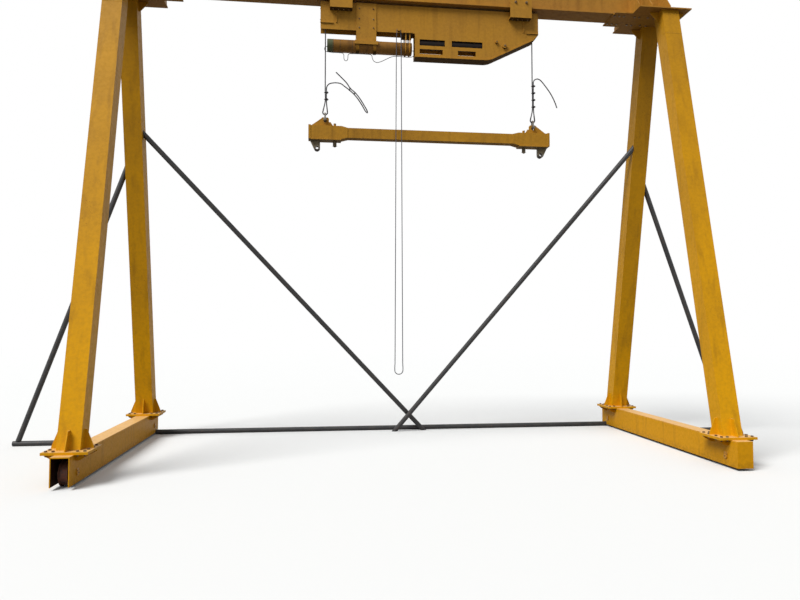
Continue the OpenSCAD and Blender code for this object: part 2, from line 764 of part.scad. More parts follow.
// The outline of a trolley side plate, in X from the trolley's middle and in depth below the girder
module trolley_outline() {
    half = trolley_len / 2;
    step = tip_depth + tip_cut;
    slope_angle = atan2(deep_depth - step, half - tip_cut - slope_from);
    arc_x = slope_from - slope_r * tan(slope_angle / 2);
    polygon(concat(
        [[-half, -trolley_gap], [half, -trolley_gap], [half, -tip_depth], [half - tip_cut, -step]],
        [for (i = [arc_steps:-1:0]) let (a = slope_angle * i / arc_steps)
            [arc_x + slope_r * sin(a), slope_r * (1 - cos(a)) - deep_depth]],
        [[deep_from, -deep_depth], [deep_from, -frame_depth], [-half, -frame_depth]]
    ));
}

// The bent strip along the lower edge of the deep part and its slope
module strip_outline() {
    half = trolley_len / 2;
    difference() {
        offset(delta = strip_t) trolley_outline();
        trolley_outline();
        translate([-trolley_len, -frame_depth]) square([2 * trolley_len, 2 * frame_depth]);
        translate([-trolley_len, -2 * deep_depth]) square([trolley_len + deep_from, 4 * deep_depth]);
    }
}

// A trolley side plate with its windows, drawn for the near side
module trolley_side() {
    low_z = low_window_rim + strip_t - deep_depth;
    half = trolley_len / 2;
    color(yellow) translate([trolley_x, -trolley_w / 2, girder_z]) {
        translate([0, trolley_t / 2, 0]) along_y(trolley_t) difference() {
            trolley_outline();
            translate([slot_from, -slot_depth - slot_h / 2]) square([slot_short, slot_h]);
            translate([slot_from + slot_short + slot_gap, -slot_depth - slot_h / 2]) square([slot_long, slot_h]);
            translate([slot_from, low_z]) square([low_left, low_window_h]);
            translate([slot_from + slot_short + slot_long - low_right, low_z]) square([low_right, low_window_h]);
        }
        for (side = [0, 1]) mirror([side, 0, 0]) {
            translate([half - stiffener_inset, -stiffener_out, -shelf_depth])
                cube([stiffener_t, stiffener_out, shelf_depth - yoke_down - yoke_t]);
            translate([half - shelf_inset, -stiffener_out, -shelf_depth - stiffener_t])
                cube([shelf_inset, stiffener_out, stiffener_t]);
        }
        translate([boss_x, 0, -boss_depth]) rotate([90, 0, 0])
            cylinder(d = boss_d, h = boss_out);
        translate([small_boss_x, 0, -small_boss_depth]) rotate([90, 0, 0])
            cylinder(d = small_boss_d, h = boss_out);
    }
}

// The peg with a round head on the near side plate, which the hand line hangs over
module line_peg() {
    color(yellow) translate([trolley_x + peg_x, -trolley_w / 2, girder_z - peg_depth]) rotate([90, 0, 0]) {
        cylinder(d = line_peg_d, h = line_peg_len + line_peg_head_t);
        translate([0, 0, line_peg_len]) cylinder(d = line_peg_head_d, h = line_peg_head_t);
    }
}

// The strip under the deep part, and the end plates and rope anchors between the side plates
module trolley_frame_ties() {
    inside_w = trolley_w - 2 * trolley_t;
    half = trolley_len / 2;
    anchor_len = 2 * (half - trolley_t - rope_x);
    color(yellow) translate([trolley_x, 0, girder_z]) {
        difference() {
            along_y(trolley_w + 2 * strip_lip) strip_outline();
            translate([rope_x, 0, -deep_depth]) cylinder(d = rope_d + 2 * rope_room, h = deep_depth);
        }
        for (side = [0, 1]) mirror([side, 0, 0]) {
            translate([half - trolley_t, -inside_w / 2, -tip_depth])
                cube([trolley_t, inside_w, tip_depth - trolley_gap]);
            translate([rope_x - anchor_len / 2, -inside_w / 2, -tip_depth])
                cube([anchor_len + eps, inside_w, anchor_t]);
        }
    }
}

// A bogie: two yoke plates, the four wheels that run on the flange, and the cross plate below it
module bogie(x) {
    inner_y = girder_flange_w / 2 + yoke_gap;
    roller_z = run_z + roller_seat + roller_d / 2;
    color(yellow) translate([trolley_x + x, 0, 0]) both_ends() {
        translate([-bogie_len / 2, inner_y, girder_z - yoke_down])
            cube([bogie_len, yoke_t, yoke_down + girder_flange_t + yoke_up]);
        for (px = [-roller_pitch / 2, roller_pitch / 2]) translate([px, inner_y, roller_z]) rotate([90, 0, 0]) {
            cylinder(d = roller_pin_d, h = roller_gap + roller_w);
            translate([0, 0, roller_gap]) cylinder(d = roller_d, h = roller_w);
        }
        translate([-bogie_len / 2, trolley_w / 2, girder_z - yoke_down])
            cube([bogie_len, inner_y - trolley_w / 2, yoke_t]);
    }
}

module rope_drum() {
    color(black) translate([trolley_x + slot_from, 0, girder_z - slot_depth]) rotate([0, 90, 0])
        cylinder(d = trolley_w - 2 * trolley_t - 2 * drum_seat, h = slot_short + slot_gap + slot_long);
}

module hanging_tube() {
    color(yellow) translate([trolley_x + tube_from, 0, girder_z - tube_depth]) rotate([0, 90, 0]) {
        difference() {
            cylinder(d = tube_d, h = tube_to - tube_from);
            translate([0, 0, -eps]) cylinder(d = tube_d - 2 * tube_wall, h = tube_to - tube_from + 2 * eps);
        }
        for (z = [0, tube_to - tube_from - tube_cap_t]) translate([0, 0, z])
            cylinder(d = tube_d - 2 * tube_wall, h = tube_cap_t);
        for (z = [-gland_t, tube_to - tube_from]) translate([gland_drop, -gland_side, z])
            cylinder(d = gland_d, h = gland_t);
    }
}

// Two plates on the trolley's sides, a saddle block on the tube and straps below it
module tube_hanger() {
    over = tube_d / 2 + tube_seat;
    block_w = trolley_w + 2 * hanger_t;
    color(yellow) translate([trolley_x + hanger_x, 0, girder_z]) {
        both_ends() translate([-hanger_w / 2, trolley_w / 2, -frame_depth])
            cube([hanger_w, hanger_t, frame_depth - trolley_gap]);
        difference() {
            union() {
                translate([-hanger_w / 2, -block_w / 2, -tube_depth])
                    cube([hanger_w, block_w, tube_depth - frame_depth]);
                translate([-hanger_w / 2 - clamp_t, -block_w / 2 - clamp_t, -tube_depth])
                    cube([hanger_w + 2 * clamp_t, block_w + 2 * clamp_t, clamp_h]);
                for (x = [-hanger_w / 2, hanger_w / 2 - strap_w]) translate([x, 0, -tube_depth])
                    rotate([0, 90, 0]) cylinder(r = over + strap_t, h = strap_w);
            }
            translate([-hanger_w, 0, -tube_depth]) rotate([0, 90, 0]) cylinder(r = over, h = 2 * hanger_w);
        }
    }
}

// Two U-bolts round the tube's right end, and the plate under the frame that they hang from
module tube_clamps() {
    centre_r = (tube_d + u_bolt_d) / 2 + tube_seat;
    plate_x = tube_to - u_bolt_inset - u_bolt_pitch / 2;
    color(yellow) translate([trolley_x, 0, girder_z]) {
        translate([plate_x - u_plate_l / 2, -u_plate_w / 2, -frame_depth - u_plate_t])
            cube([u_plate_l, u_plate_w, u_plate_t]);
        for (i = [0, 1]) translate([tube_to - u_bolt_inset - i * u_bolt_pitch, 0, -tube_depth]) {
            rotate([90, 180, 90]) rotate_extrude(angle = 180) translate([centre_r, 0]) circle(d = u_bolt_d);
            for (y = [-centre_r, centre_r]) translate([0, y, 0]) {
                cylinder(d = u_bolt_d, h = tube_depth - frame_depth + u_nut_h + u_bolt_d / 2);
                translate([0, 0, tube_depth - frame_depth]) cylinder(d = u_nut_d, h = u_nut_h);
            }
        }
    }
}

module hoist_rope(x, doubled) {
    low = throat_z + doubled + rope_seat;
    high = girder_z - tip_depth - rope_seat;
    color(steel) translate([trolley_x + x, 0, low]) cylinder(d = rope_d, h = high - low);
}

// A bow shackle with its pin along Y through the eye lug
module shackle(x) {
    bow_z = crown_z - shackle_jaw / 2;
    bow_r = (shackle_jaw + shackle_rod) / 2;
    pin_half = shackle_jaw / 2 + shackle_rod + shackle_nut_t;
    color(steel) translate([trolley_x + x, 0, shackle_z]) {
        rotate([90, 0, 0]) translate([0, 0, -pin_half]) cylinder(d = shackle_pin_d, h = 2 * pin_half);
        both_ends() {
            translate([0, pin_half, 0]) rotate([90, 0, 0])
                cylinder(d = shackle_ear_d, h = shackle_nut_t + shackle_rod);
            translate([0, bow_r, 0]) cylinder(d = shackle_rod, h = bow_z - shackle_z);
        }
        translate([0, 0, bow_z - shackle_z]) rotate([90, 0, 90]) rotate_extrude(angle = 180)
            translate([bow_r, 0]) circle(d = shackle_rod);
    }
}

// The angle at which a line from the point [x, throat_h] touches the eye's round, on its left or its right side
function touch_angle(x, side) = atan2(throat_h, x) + side * acos(loop_r / norm([x, throat_h]));

// A rope's eye, with the two strands that run up from its throat
module rope_eye(x, doubled) {
    left_arc = 270 - touch_angle(0, 1);
    right_arc = 90 + touch_angle(strand_pitch, -1);
    round = [for (i = [-eye_steps:eye_steps]) let (a = 270 + (i < 0 ? left_arc : right_arc) * i / eye_steps)
        [loop_r * cos(a), 0, loop_r * sin(a)]];
    color(steel) translate([trolley_x + x, 0, loop_z]) cord(concat(
        [[0, 0, throat_h + doubled], [0, 0, throat_h]], round,
        [[strand_pitch, 0, throat_h], [strand_pitch, 0, throat_h + doubled]]
    ), rope_d);
}

module rope_tail(x, doubled, route) {
    color(steel) translate([trolley_x + x, 0, throat_z + doubled]) cord(route, rope_d);
}

module spreader_beam() {
    half = spreader_len / 2 - end_box_len;
    color(yellow) translate([trolley_x, 0, spreader_z]) rotate([90, 0, 90]) translate([0, 0, -half])
        linear_extrude(2 * half) difference() {
            square([beam_w, beam_h], center = true);
            square([beam_w - 2 * beam_wall, beam_h - 2 * beam_wall], center = true);
        }
}

// The outline of the eye lug from the box's top, with the rope's axis at X = 0
module eye_outline() {
    difference() {
        polygon([
            [-eye_half, 0], [eye_foot, 0], [eye_foot, eye_toe], [eye_half, eye_h - eye_cut],
            [eye_half - eye_cut, eye_h], [eye_cut - eye_half, eye_h], [-eye_half, eye_h - eye_cut]
        ]);
        translate([0, eye_up]) circle(d = eye_hole_d);
    }
}

// The outline of the hook lug from the sole's underside, with the hole at X = 0
module hook_outline() {
    r = hook_lug_d / 2;
    reach = norm([hook_shoulder, hook_drop]);
    a = atan2(hook_drop, hook_shoulder) - acos(r / reach);
    difference() {
        union() {
            translate([0, -hook_drop]) circle(r = r);
            polygon([
                [-r, 0], [hook_shoulder, 0], [r * cos(a), r * sin(a) - hook_drop],
                [0, -hook_drop], [-r, -hook_drop]
            ]);
        }
        translate([0, -hook_drop]) circle(d = hook_hole_d);
    }
}

// The end box with its end plate, sole, eye lug, hook lug and locking pin, drawn for the right end
module spreader_end() {
    outer = spreader_len / 2;
    inner = outer - end_box_len;
    sole_z = -end_box_h / 2 - sole_t;
    plate_h = end_box_h + 2 * end_plate_lip;
    plate_w = end_box_w + 2 * end_plate_lip;
    color(yellow) {
        along_y(end_box_w) polygon([
            [inner, -beam_h / 2], [inner + neck_len, -end_box_h / 2], [outer - end_plate_t, -end_box_h / 2],
            [outer - end_plate_t, end_box_h / 2], [inner + neck_len, end_box_h / 2], [inner, beam_h / 2]
        ]);
        translate([outer - end_plate_t, -plate_w / 2, -plate_h / 2]) cube([end_plate_t, plate_w, plate_h]);
        translate([outer - sole_len, -end_box_w / 2 - sole_lip, sole_z])
            cube([sole_len - end_plate_t, end_box_w + 2 * sole_lip, sole_t]);
        translate([rope_x, 0, end_box_h / 2]) {
            along_y(eye_t) eye_outline();
            translate([-eye_half, 0, 0]) mirror([1, 0, 0]) gusset(eye_gusset_w, eye_gusset_h, gusset_nose);
        }
        translate([outer - hook_inset, 0, sole_z]) along_y(hook_lug_t) hook_outline();
        translate([outer - pin_inset, 0, 0]) {
            translate([0, 0, sole_z - pin_len + pin_tip]) cylinder(d = pin_d, h = pin_len - pin_tip);
            translate([0, 0, sole_z - pin_len]) cylinder(d1 = pin_d - 2 * pin_tip, d2 = pin_d, h = pin_tip);
            translate([0, 0, end_box_h / 2]) cylinder(d = pin_head_d, h = pin_head_h);
        }
    }
}

// The carriage cap at the near end of the left carriage is missing, so its wheel shows
left_caps = [false, true];
right_caps = [true, true];

on_side(-1) carriage_inner();  // carriage_left_inner
on_side(-1) carriage_outer();  // carriage_left_outer
on_side(-1) carriage_top(left_caps);  // carriage_left_top
on_side(1) carriage_inner();  // carriage_right_inner
on_side(1) carriage_outer();  // carriage_right_outer
on_side(1) carriage_top(right_caps);  // carriage_right_top
on_side(-1) axles();  // axles_left
on_side(1) axles();  // axles_right
on_side(-1) mirror([0, 1, 0]) wheel();  // wheel_left_near
on_side(-1) wheel();  // wheel_left_far
on_side(1) mirror([0, 1, 0]) wheel();  // wheel_right_near
on_side(1) wheel();  // wheel_right_far
on_side(-1) mirror([0, 1, 0]) leg();  // leg_left_near
on_side(-1) leg();  // leg_left_far
on_side(1) mirror([0, 1, 0]) leg();  // leg_right_near
on_side(1) leg();  // leg_right_far
on_side(-1) head_plate();  // head_plate_left
on_side(1) head_plate();  // head_plate_right
girder_bottom_flange();
girder_web();  // girder_web_near
mirror([0, 1, 0]) girder_web();  // girder_web_far
girder_top_flange();
on_side(-1) girder_end();  // girder_end_left
on_side(1) girder_end();  // girder_end_right
brace_inner(-1, brace_left_foot_x, 0);  // brace_inner_left
brace_inner(1, brace_right_foot_x, -brace_d - brace_gap);  // brace_inner_right
on_side(-1) brace_outer();  // brace_outer_left
on_side(1) brace_outer();  // brace_outer_right
ground_tie();
on_side(-1) foot_tie();  // foot_tie_left
on_side(1) foot_tie();  // foot_tie_right
union() { trolley_side(); line_peg(); }  // trolley_side_near
mirror([0, 1, 0]) trolley_side();  // trolley_side_far
trolley_frame_ties();
bogie(bogie_inset - trolley_len / 2);  // bogie_left
bogie(trolley_len / 2 - bogie_inset);  // bogie_right
rope_drum();
hanging_tube();
tube_hanger();
tube_clamps();
color(black) translate([trolley_x, 0, girder_z]) cord(hand_line_route, line_d);  // hand_line
color(black) translate([trolley_x, 0, girder_z]) cord(lead_route, lead_d);  // power_lead
hoist_rope(-rope_x, doubled_left);  // rope_left
hoist_rope(rope_x, doubled_right);  // rope_right
spreader_beam();
translate([trolley_x, 0, spreader_z]) mirror([1, 0, 0]) spreader_end();  // spreader_end_left
translate([trolley_x, 0, spreader_z]) spreader_end();  // spreader_end_right
shackle(-rope_x);  // shackle_left
shackle(rope_x);  // shackle_right
rope_eye(-rope_x, doubled_left);  // rope_eye_left
rope_eye(rope_x, doubled_right);  // rope_eye_right
rope_tail(-rope_x, doubled_left, tail_left_route);  // rope_tail_left
rope_tail(rope_x, doubled_right, tail_right_route);  // rope_tail_right
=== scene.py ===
import math
import bpy
import bmesh
from mathutils import Matrix, Vector


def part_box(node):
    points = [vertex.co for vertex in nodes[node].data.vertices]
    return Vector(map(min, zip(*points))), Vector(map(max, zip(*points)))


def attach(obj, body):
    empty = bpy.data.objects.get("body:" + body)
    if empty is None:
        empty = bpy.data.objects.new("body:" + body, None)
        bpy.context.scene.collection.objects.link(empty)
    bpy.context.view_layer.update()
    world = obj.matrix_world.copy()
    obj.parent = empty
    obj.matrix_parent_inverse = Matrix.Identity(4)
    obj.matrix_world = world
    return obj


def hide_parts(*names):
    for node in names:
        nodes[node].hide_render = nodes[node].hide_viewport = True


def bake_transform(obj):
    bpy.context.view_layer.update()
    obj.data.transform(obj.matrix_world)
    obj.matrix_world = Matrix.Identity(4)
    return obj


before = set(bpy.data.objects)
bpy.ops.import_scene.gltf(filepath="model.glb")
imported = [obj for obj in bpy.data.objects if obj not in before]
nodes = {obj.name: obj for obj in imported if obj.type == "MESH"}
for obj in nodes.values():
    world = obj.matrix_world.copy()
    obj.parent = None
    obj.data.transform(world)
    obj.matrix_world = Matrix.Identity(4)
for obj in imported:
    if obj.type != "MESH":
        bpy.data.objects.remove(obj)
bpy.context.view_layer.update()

scene = bpy.context.scene
scene.view_settings.view_transform = "Standard"

# ---- The view ----
# The camera stands in front of the crane, a little left of its middle and at eye height. It looks slightly up
# and to the right.
eye = bpy.data.cameras.new("eye")
eye.lens = 29.25
eye.sensor_width = 36.0
eye.clip_end = 500.0
viewer = bpy.data.objects.new("viewer", eye)
viewer.location = (-1.095, -8.66, 1.63)
viewer.rotation_euler = (math.radians(92.35), 0.0, math.radians(-6.92))
scene.collection.objects.link(viewer)
scene.camera = viewer

# ---- Hand line ----
# A thin laid cord in one long loop. It hangs over a peg on the near side of the hoist trolley, in front of
# the hanging tube, and reaches down to about the height of a hand.
TROLLEY = Vector((0.380, 0.0, 6.016))


def seen(red, green, blue):
    """A colour of 0 to 255 as the eye sees it, in the way the shaders count it."""
    return tuple((c / 255 / 12.92 if c < 10.3 else ((c / 255 + 0.055) / 1.055) ** 2.4)
                 for c in (red, green, blue)) + (1.0,)


def finish(name, colour, roughness, metallic=0.0):
    """A new material and its node tree and shader."""
    made = bpy.data.materials.new(name)
    made.use_nodes = True
    shader = made.node_tree.nodes["Principled BSDF"]
    shader.inputs["Base Color"].default_value = seen(*colour)
    shader.inputs["Roughness"].default_value = roughness
    shader.inputs["Metallic"].default_value = metallic
    return made, made.node_tree, shader


def add(tree, kind, wired=None, **settings):
    """A node with its settings, and its inputs either wired to a socket or set to a value."""
    made = tree.nodes.new(kind)
    for key, value in settings.items():
        setattr(made, key, value)
    for key, value in (wired or {}).items():
        if isinstance(value, bpy.types.NodeSocket):
            tree.links.new(value, made.inputs[key])
        else:
            made.inputs[key].default_value = value
    return made


def mixed(tree, share, first, second):
    """The colour of a mix of two colours."""
    return add(tree, "ShaderNodeMix", {0: share, 6: first, 7: second}, data_type="RGBA").outputs[2]


def spread(tree, value, low, high, to_low=0.0, to_high=1.0):
    """A value brought from one range into another, and held there."""
    return add(tree, "ShaderNodeMapRange", {"Value": value, "From Min": low, "From Max": high,
                                            "To Min": to_low, "To Max": to_high}).outputs["Result"]


def reckon(tree, operation, *terms):
    """A sum, a product or the like of values, held between 0 and 1."""
    return add(tree, "ShaderNodeMath", dict(enumerate(terms)), operation=operation, use_clamp=True).outputs[0]


def clouds(tree, place, scale, detail=4.0, roughness=0.5):
    """A noise pattern on the piece."""
    return add(tree, "ShaderNodeTexNoise", {"Vector": place, "Scale": scale, "Detail": detail,
                                            "Roughness": roughness}).outputs["Fac"]


def relief(tree, shader, height, strength, distance):
    """Raises a pattern on the surface."""
    bump = add(tree, "ShaderNodeBump", {"Height": height, "Strength": strength, "Distance": distance})
    tree.links.new(bump.outputs["Normal"], shader.inputs["Normal"])


def smooth(points, step=0.006):
    """One smooth line through given points with a point every step, and its length."""
    ends = [2 * points[0] - points[1], *points, 2 * points[-1] - points[-2]]
    fine = [points[0]]
    for a, b, c, d in zip(ends, ends[1:], ends[2:], ends[3:]):
        pull = (c - b).length
        out, back = (c - a).normalized() * pull, (d - b).normalized() * pull
        for i in range(1, 25):
            t = i / 24
            fine.append((2 * t ** 3 - 3 * t ** 2 + 1) * b + (t ** 3 - 2 * t ** 2 + t) * out
                        + (3 * t ** 2 - 2 * t ** 3) * c + (t ** 3 - t ** 2) * back)
    gone = [0.0]
    for a, b in zip(fine, fine[1:]):
        gone.append(gone[-1] + (b - a).length)
    count = max(2, round(gone[-1] / step))
    line, at = [], 0
    for i in range(count + 1):
        want = gone[-1] * i / count
        while at < len(fine) - 2 and gone[at + 1] < want:
            at += 1
        share = (want - gone[at]) / max(1e-9, gone[at + 1] - gone[at])
        line.append(fine[at].lerp(fine[at + 1], min(1.0, share)))
    return line, gone[-1]


def to_piece(name, curve, material):
    """Turns a curve into a mesh piece with its material."""
    run = bpy.data.objects.new(name + "_run", curve)
    scene.collection.objects.link(run)
    bpy.context.view_layer.update()
    mesh = bpy.data.meshes.new_from_object(run.evaluated_get(bpy.context.evaluated_depsgraph_get()))
    bpy.data.objects.remove(run)
    bpy.data.curves.remove(curve)
    mesh.name = name
    for face in mesh.polygons:
        face.use_smooth = len(face.vertices) < 5
    mesh.materials.clear()
    mesh.materials.append(material)
    piece = bpy.data.objects.new(name, mesh)
    scene.collection.objects.link(piece)
    return piece


def laid(name, line, radius, strands, turn, material):
    """A rope of twisted strands along a line: a lobed outline swept with a full turn every so many metres."""
    outline = bpy.data.curves.new(name + "_outline", "CURVE")
    outline.dimensions = "2D"
    sides = strands * 4 if strands else 12
    loop = outline.splines.new("POLY")
    loop.use_cyclic_u = True
    loop.points.add(sides - 1)
    for i in range(sides):
        a = math.tau * i / sides
        r = radius * (1.0 - 0.16 * (0.5 - 0.5 * math.cos(strands * a)))
        loop.points[i].co = (r * math.cos(a), r * math.sin(a), 0.0, 1.0)
    outline_piece = bpy.data.objects.new(name + "_outline", outline)
    run = bpy.data.curves.new(name, "CURVE")
    run.dimensions = "3D"
    run.twist_mode = "MINIMUM"
    run.bevel_mode = "OBJECT"
    run.bevel_object = outline_piece
    run.use_fill_caps = True
    path = run.splines.new("POLY")
    path.points.add(len(line) - 1)
    gone = 0.0
    for i, point in enumerate(line):
        if i:
            gone += (point - line[i - 1]).length
        path.points[i].co = (*point, 1.0)
        path.points[i].tilt = math.tau * gone / turn if strands else 0.0
    piece = to_piece(name, run, material)
    bpy.data.objects.remove(outline_piece)
    bpy.data.curves.remove(outline)
    return piece


def placed(route, origin):
    """The points of a cord's route, given in millimetres from its origin, in metres."""
    return [origin + Vector(point) / 1000 for point in route]


hand_cord, tree, shader = finish("hand_cord", (92, 94, 102), 0.85)
place = add(tree, "ShaderNodeTexCoord").outputs["Object"]
fluff = clouds(tree, place, 160.0, 3.0)
handled = spread(tree, clouds(tree, place, 1.3, 2.0), 0.35, 0.65)
grey = mixed(tree, handled, seen(62, 62, 70), seen(104, 104, 110))
tree.links.new(mixed(tree, spread(tree, fluff, 0.3, 0.7, 0.0, 0.5), grey, seen(50, 50, 54)),
               shader.inputs["Base Color"])
relief(tree, shader, fluff, 0.5, 0.002)

hand_line_route = [
    (-455, -100, -356), (-462, -100, -358), (-469, -100, -363), (-474, -100, -370), (-476.5, -100, -380),
    (-479, -101, -420), (-485, -103, -540), (-503, -108, -4850), (-506, -108, -4960), (-496, -108, -4992),
    (-469, -108, -5011), (-435, -108, -5011), (-408, -108, -4992), (-398, -108, -4960), (-401, -108, -4850),
    (-421, -103, -540), (-425, -101, -420), (-427.5, -100, -380), (-430, -100, -370), (-435, -100, -363),
    (-442, -100, -358), (-449, -100, -356)
]
HAND_R, HAND_LAY = 0.006, 0.048
line, length = smooth(placed(hand_line_route, TROLLEY))
hand_line = laid("hand_line_cord", line, HAND_R, 3, HAND_LAY, hand_cord)
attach(hand_line, "trolley")
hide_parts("hand_line")

# ---- Power lead ----
# A thin black rubber lead under the hanging tube. It comes out of a gland in the tube's left end, hangs down
# in two slack bights, and goes into the gland at the right end. Black ties hold it to the tube.
rubber, tree, shader = finish("cable_black", (26, 26, 27), 0.55)
place = add(tree, "ShaderNodeTexCoord").outputs["Object"]
dust = clouds(tree, place, 14.0, 5.0)
tree.links.new(mixed(tree, spread(tree, dust, 0.45, 0.75, 0.0, 0.5), seen(22, 22, 23), seen(84, 78, 68)),
               shader.inputs["Base Color"])
tree.links.new(spread(tree, dust, 0.3, 0.7, 0.42, 0.8), shader.inputs["Roughness"])

lead_route = [
    (-1416.3, -25, -628), (-1424, -25, -628), (-1438, -25, -634), (-1445, -25, -648), (-1445, -25, -672),
    (-1438, -23, -686), (-1423, -20, -693), (-1360, 0, -693.5), (-1216, 0, -695), (-1195, 0, -706),
    (-1188, 0, -726), (-1186, 0, -766), (-1179, 0, -790), (-1160, 0, -800), (-1141, 0, -790),
    (-1134, 0, -766),
    (-1130, 0, -722), (-1120, 0, -706), (-1098, 0, -699), (-836, 0, -698), (-812, 0, -708), (-803, 0, -740),
    (-785, 0, -782), (-742, 0, -802), (-690, 0, -790), (-600, 0, -744), (-530, 0, -712), (-440, 0, -703),
    (-362, 0, -708.5), (-290, -3, -708.5), (-258, -14, -707), (-243, -22, -699), (-237, -25, -684),
    (-237, -25, -648), (-243, -25, -634), (-256, -25, -628), (-263.7, -25, -628)
]
LEAD_R = 0.004
line, length = smooth(placed(lead_route, TROLLEY))
power_lead = laid("power_lead_sheath", line, LEAD_R, 0, 1.0, rubber)
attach(power_lead, "trolley")
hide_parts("power_lead")


def rods(name, lines, radius, material, body, ripple=0.0):
    """Round bars along lines of points. A ripple changes their thickness in short steps, as a weld has."""
    curve = bpy.data.curves.new(name, "CURVE")
    curve.dimensions = "3D"
    curve.fill_mode = "FULL"
    curve.bevel_depth = radius
    curve.bevel_resolution = 0 if ripple else 1
    curve.use_fill_caps = True
    for line in lines:
        points = list(line)
        if ripple:
            points = [line[0]]
            for a, b in zip(line, line[1:]):
                count = max(1, round((b - a).length / ripple))
                points += [a.lerp(b, i / count) for i in range(1, count + 1)]
        spline = curve.splines.new("POLY")
        spline.points.add(len(points) - 1)
        for i, point in enumerate(points):
            spline.points[i].co = (*point, 1.0)
            spline.points[i].radius = 0.8 if ripple and i % 2 else 1.0
    piece = to_piece(name, curve, material)
    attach(piece, body)


# Each tie runs round the tube and, at its foot, round the lead, which lies lower at the last one.
TUBE_LINE = TROLLEY + Vector((0, 0, -0.602))
TIE_R = 0.0864
LEAD_LOW, LEAD_LOWER = -0.0985, -0.1065
tie_lines = []
for x in (-1.330, -1.240, -1.075, -0.460):
    belt = [Vector((x, TIE_R * math.cos(math.radians(a)), TIE_R * math.sin(math.radians(a))))
            for a in range(-62, 243, 8)]
    low = LEAD_LOWER if x == -0.460 else LEAD_LOW
    belt += [Vector((x, -0.005, low)), Vector((x, 0.005, low)), belt[0]]
    tie_lines.append([TUBE_LINE + point for point in belt])
rods("lead_ties", tie_lines, 0.0014, rubber, "trolley")

# ---- Hoist ropes ----
# Two steel wire ropes of six strands, dark with grease. Each comes down from the trolley frame, makes an eye
# round a thimble in the spreader's shackle, and runs back up beside itself through forged clips into a free
# tail. The left tail is folded back and tied.
ROPE_X = 1.435
EYE_Z, THROAT_Z = 4.4989, 4.6489
ROPE_R, ROPE_LAY = 0.008, 0.105
steel_rope, tree, shader = finish("wire_rope", (58, 58, 60), 0.5, 0.5)
place = add(tree, "ShaderNodeTexCoord").outputs["Object"]
wires = clouds(tree, place, 420.0, 2.0)
grease = clouds(tree, place, 9.0)
dark = mixed(tree, spread(tree, grease, 0.35, 0.7), seen(30, 30, 33), seen(66, 64, 64))
tree.links.new(mixed(tree, spread(tree, wires, 0.4, 0.7, 0.0, 0.5), dark, seen(96, 95, 98)),
               shader.inputs["Base Color"])
tree.links.new(spread(tree, grease, 0.3, 0.7, 0.3, 0.65), shader.inputs["Roughness"])
relief(tree, shader, wires, 0.6, 0.001)

black_iron, tree, shader = finish("black_iron", (34, 33, 34), 0.5, 0.4)
place = add(tree, "ShaderNodeTexCoord").outputs["Object"]
crust = clouds(tree, place, 60.0, 6.0, 0.6)
tree.links.new(mixed(tree, spread(tree, crust, 0.5, 0.7), seen(30, 29, 31), seen(74, 50, 36)),
               shader.inputs["Base Color"])
tree.links.new(spread(tree, crust, 0.4, 0.7, 0.4, 0.8), shader.inputs["Roughness"])
relief(tree, shader, crust, 0.3, 0.001)


def piece_of(name, shape, material, body):
    """Makes a piece of a shape, on the body that it moves with. Edges sharper than 35 degrees stay crisp."""
    mesh = bpy.data.meshes.new(name)
    shape.to_mesh(mesh)
    shape.free()
    for face in mesh.polygons:
        face.use_smooth = True
    mesh.set_sharp_from_angle(angle=math.radians(35.0))
    mesh.materials.append(material)
    piece = bpy.data.objects.new(name, mesh)
    scene.collection.objects.link(piece)
    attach(piece, body)


def disc(shape, at, out, radius, height, sides=16, top=1.0):
    """A round or many-sided plate that points out from a face, with its top a share of its foot."""
    stand = Matrix.Translation(at) @ Vector(out).to_track_quat("Z", "Y").to_matrix().to_4x4()
    bmesh.ops.create_cone(shape, cap_ends=True, segments=sides, radius1=radius, radius2=radius * top,
                          depth=height, matrix=stand @ Matrix.Translation((0, 0, height / 2)))


def bolt(shape, at, out, size, stub=0.0):
    """A hexagon head or nut on its washer, with the thread's end where it shows."""
    out = Vector(out)
    disc(shape, at, out, size * 0.98, size * 0.16)
    disc(shape, at + out * size * 0.16, out, size * 0.88, size * 0.56, sides=6)
    disc(shape, at + out * size * 0.72, out, size * 0.88, size * 0.1, sides=6, top=0.84)
    if stub:
        disc(shape, at + out * size * 0.8, out, size * 0.48, stub, sides=10, top=0.9)


def block(shape, low, high, bevel):
    """A block between two corners with its edges broken."""
    low, high = Vector(low), Vector(high)
    made = bmesh.ops.create_cube(shape, size=1.0, matrix=Matrix.Translation((low + high) / 2)
                                 @ Matrix.Diagonal((*(high - low), 1.0)))
    edges = list(dict.fromkeys(edge for corner in made["verts"] for edge in corner.link_edges))
    bmesh.ops.bevel(shape, geom=edges, offset=bevel, affect="EDGES", segments=2, profile=0.5, material=-1)


tails = {
    "left": [
        (17, 0, 0.3), (17, 0, 24), (22, -3, 50), (36, -9, 72), (57, -18, 86), (86, -29, 92), (135, -50, 91),
        (203, -85, 70), (258, -107, 24), (317, -122, -26), (375, -128, -78), (432, -130, -145),
        (488, -122, -225), (528, -106, -288), (549, -122, -319), (557, -159, -332), (549, -196, -319),
        (528, -212, -288), (460, -190, -168), (397, -165, -78), (330, -146, -12), (283, -140, 58),
        (215, -135, 130), (141, -130, 202)
    ],
    "right": [
        (17, 0, 0.3), (17, 0, 22), (21, -2, 43), (34, -4, 62), (56, -7, 74), (84, -9, 75), (112, -12, 60),
        (140, -16, 30), (190, -22, -36), (249, -28, -122), (290, -33, -200), (320, -37, -272),
        (340, -40, -334)
    ],
}
doubled = {"left": 0.150, "right": 0.362}
clip_heights = {"left": (4.676, 4.770), "right": (4.690, 4.788, 4.886, 4.984)}
STRAND = 0.017
EYE_R = 0.032
CLIP_R, CLIP_FACE, CLIP_END = 0.0122, 0.0315, 0.044
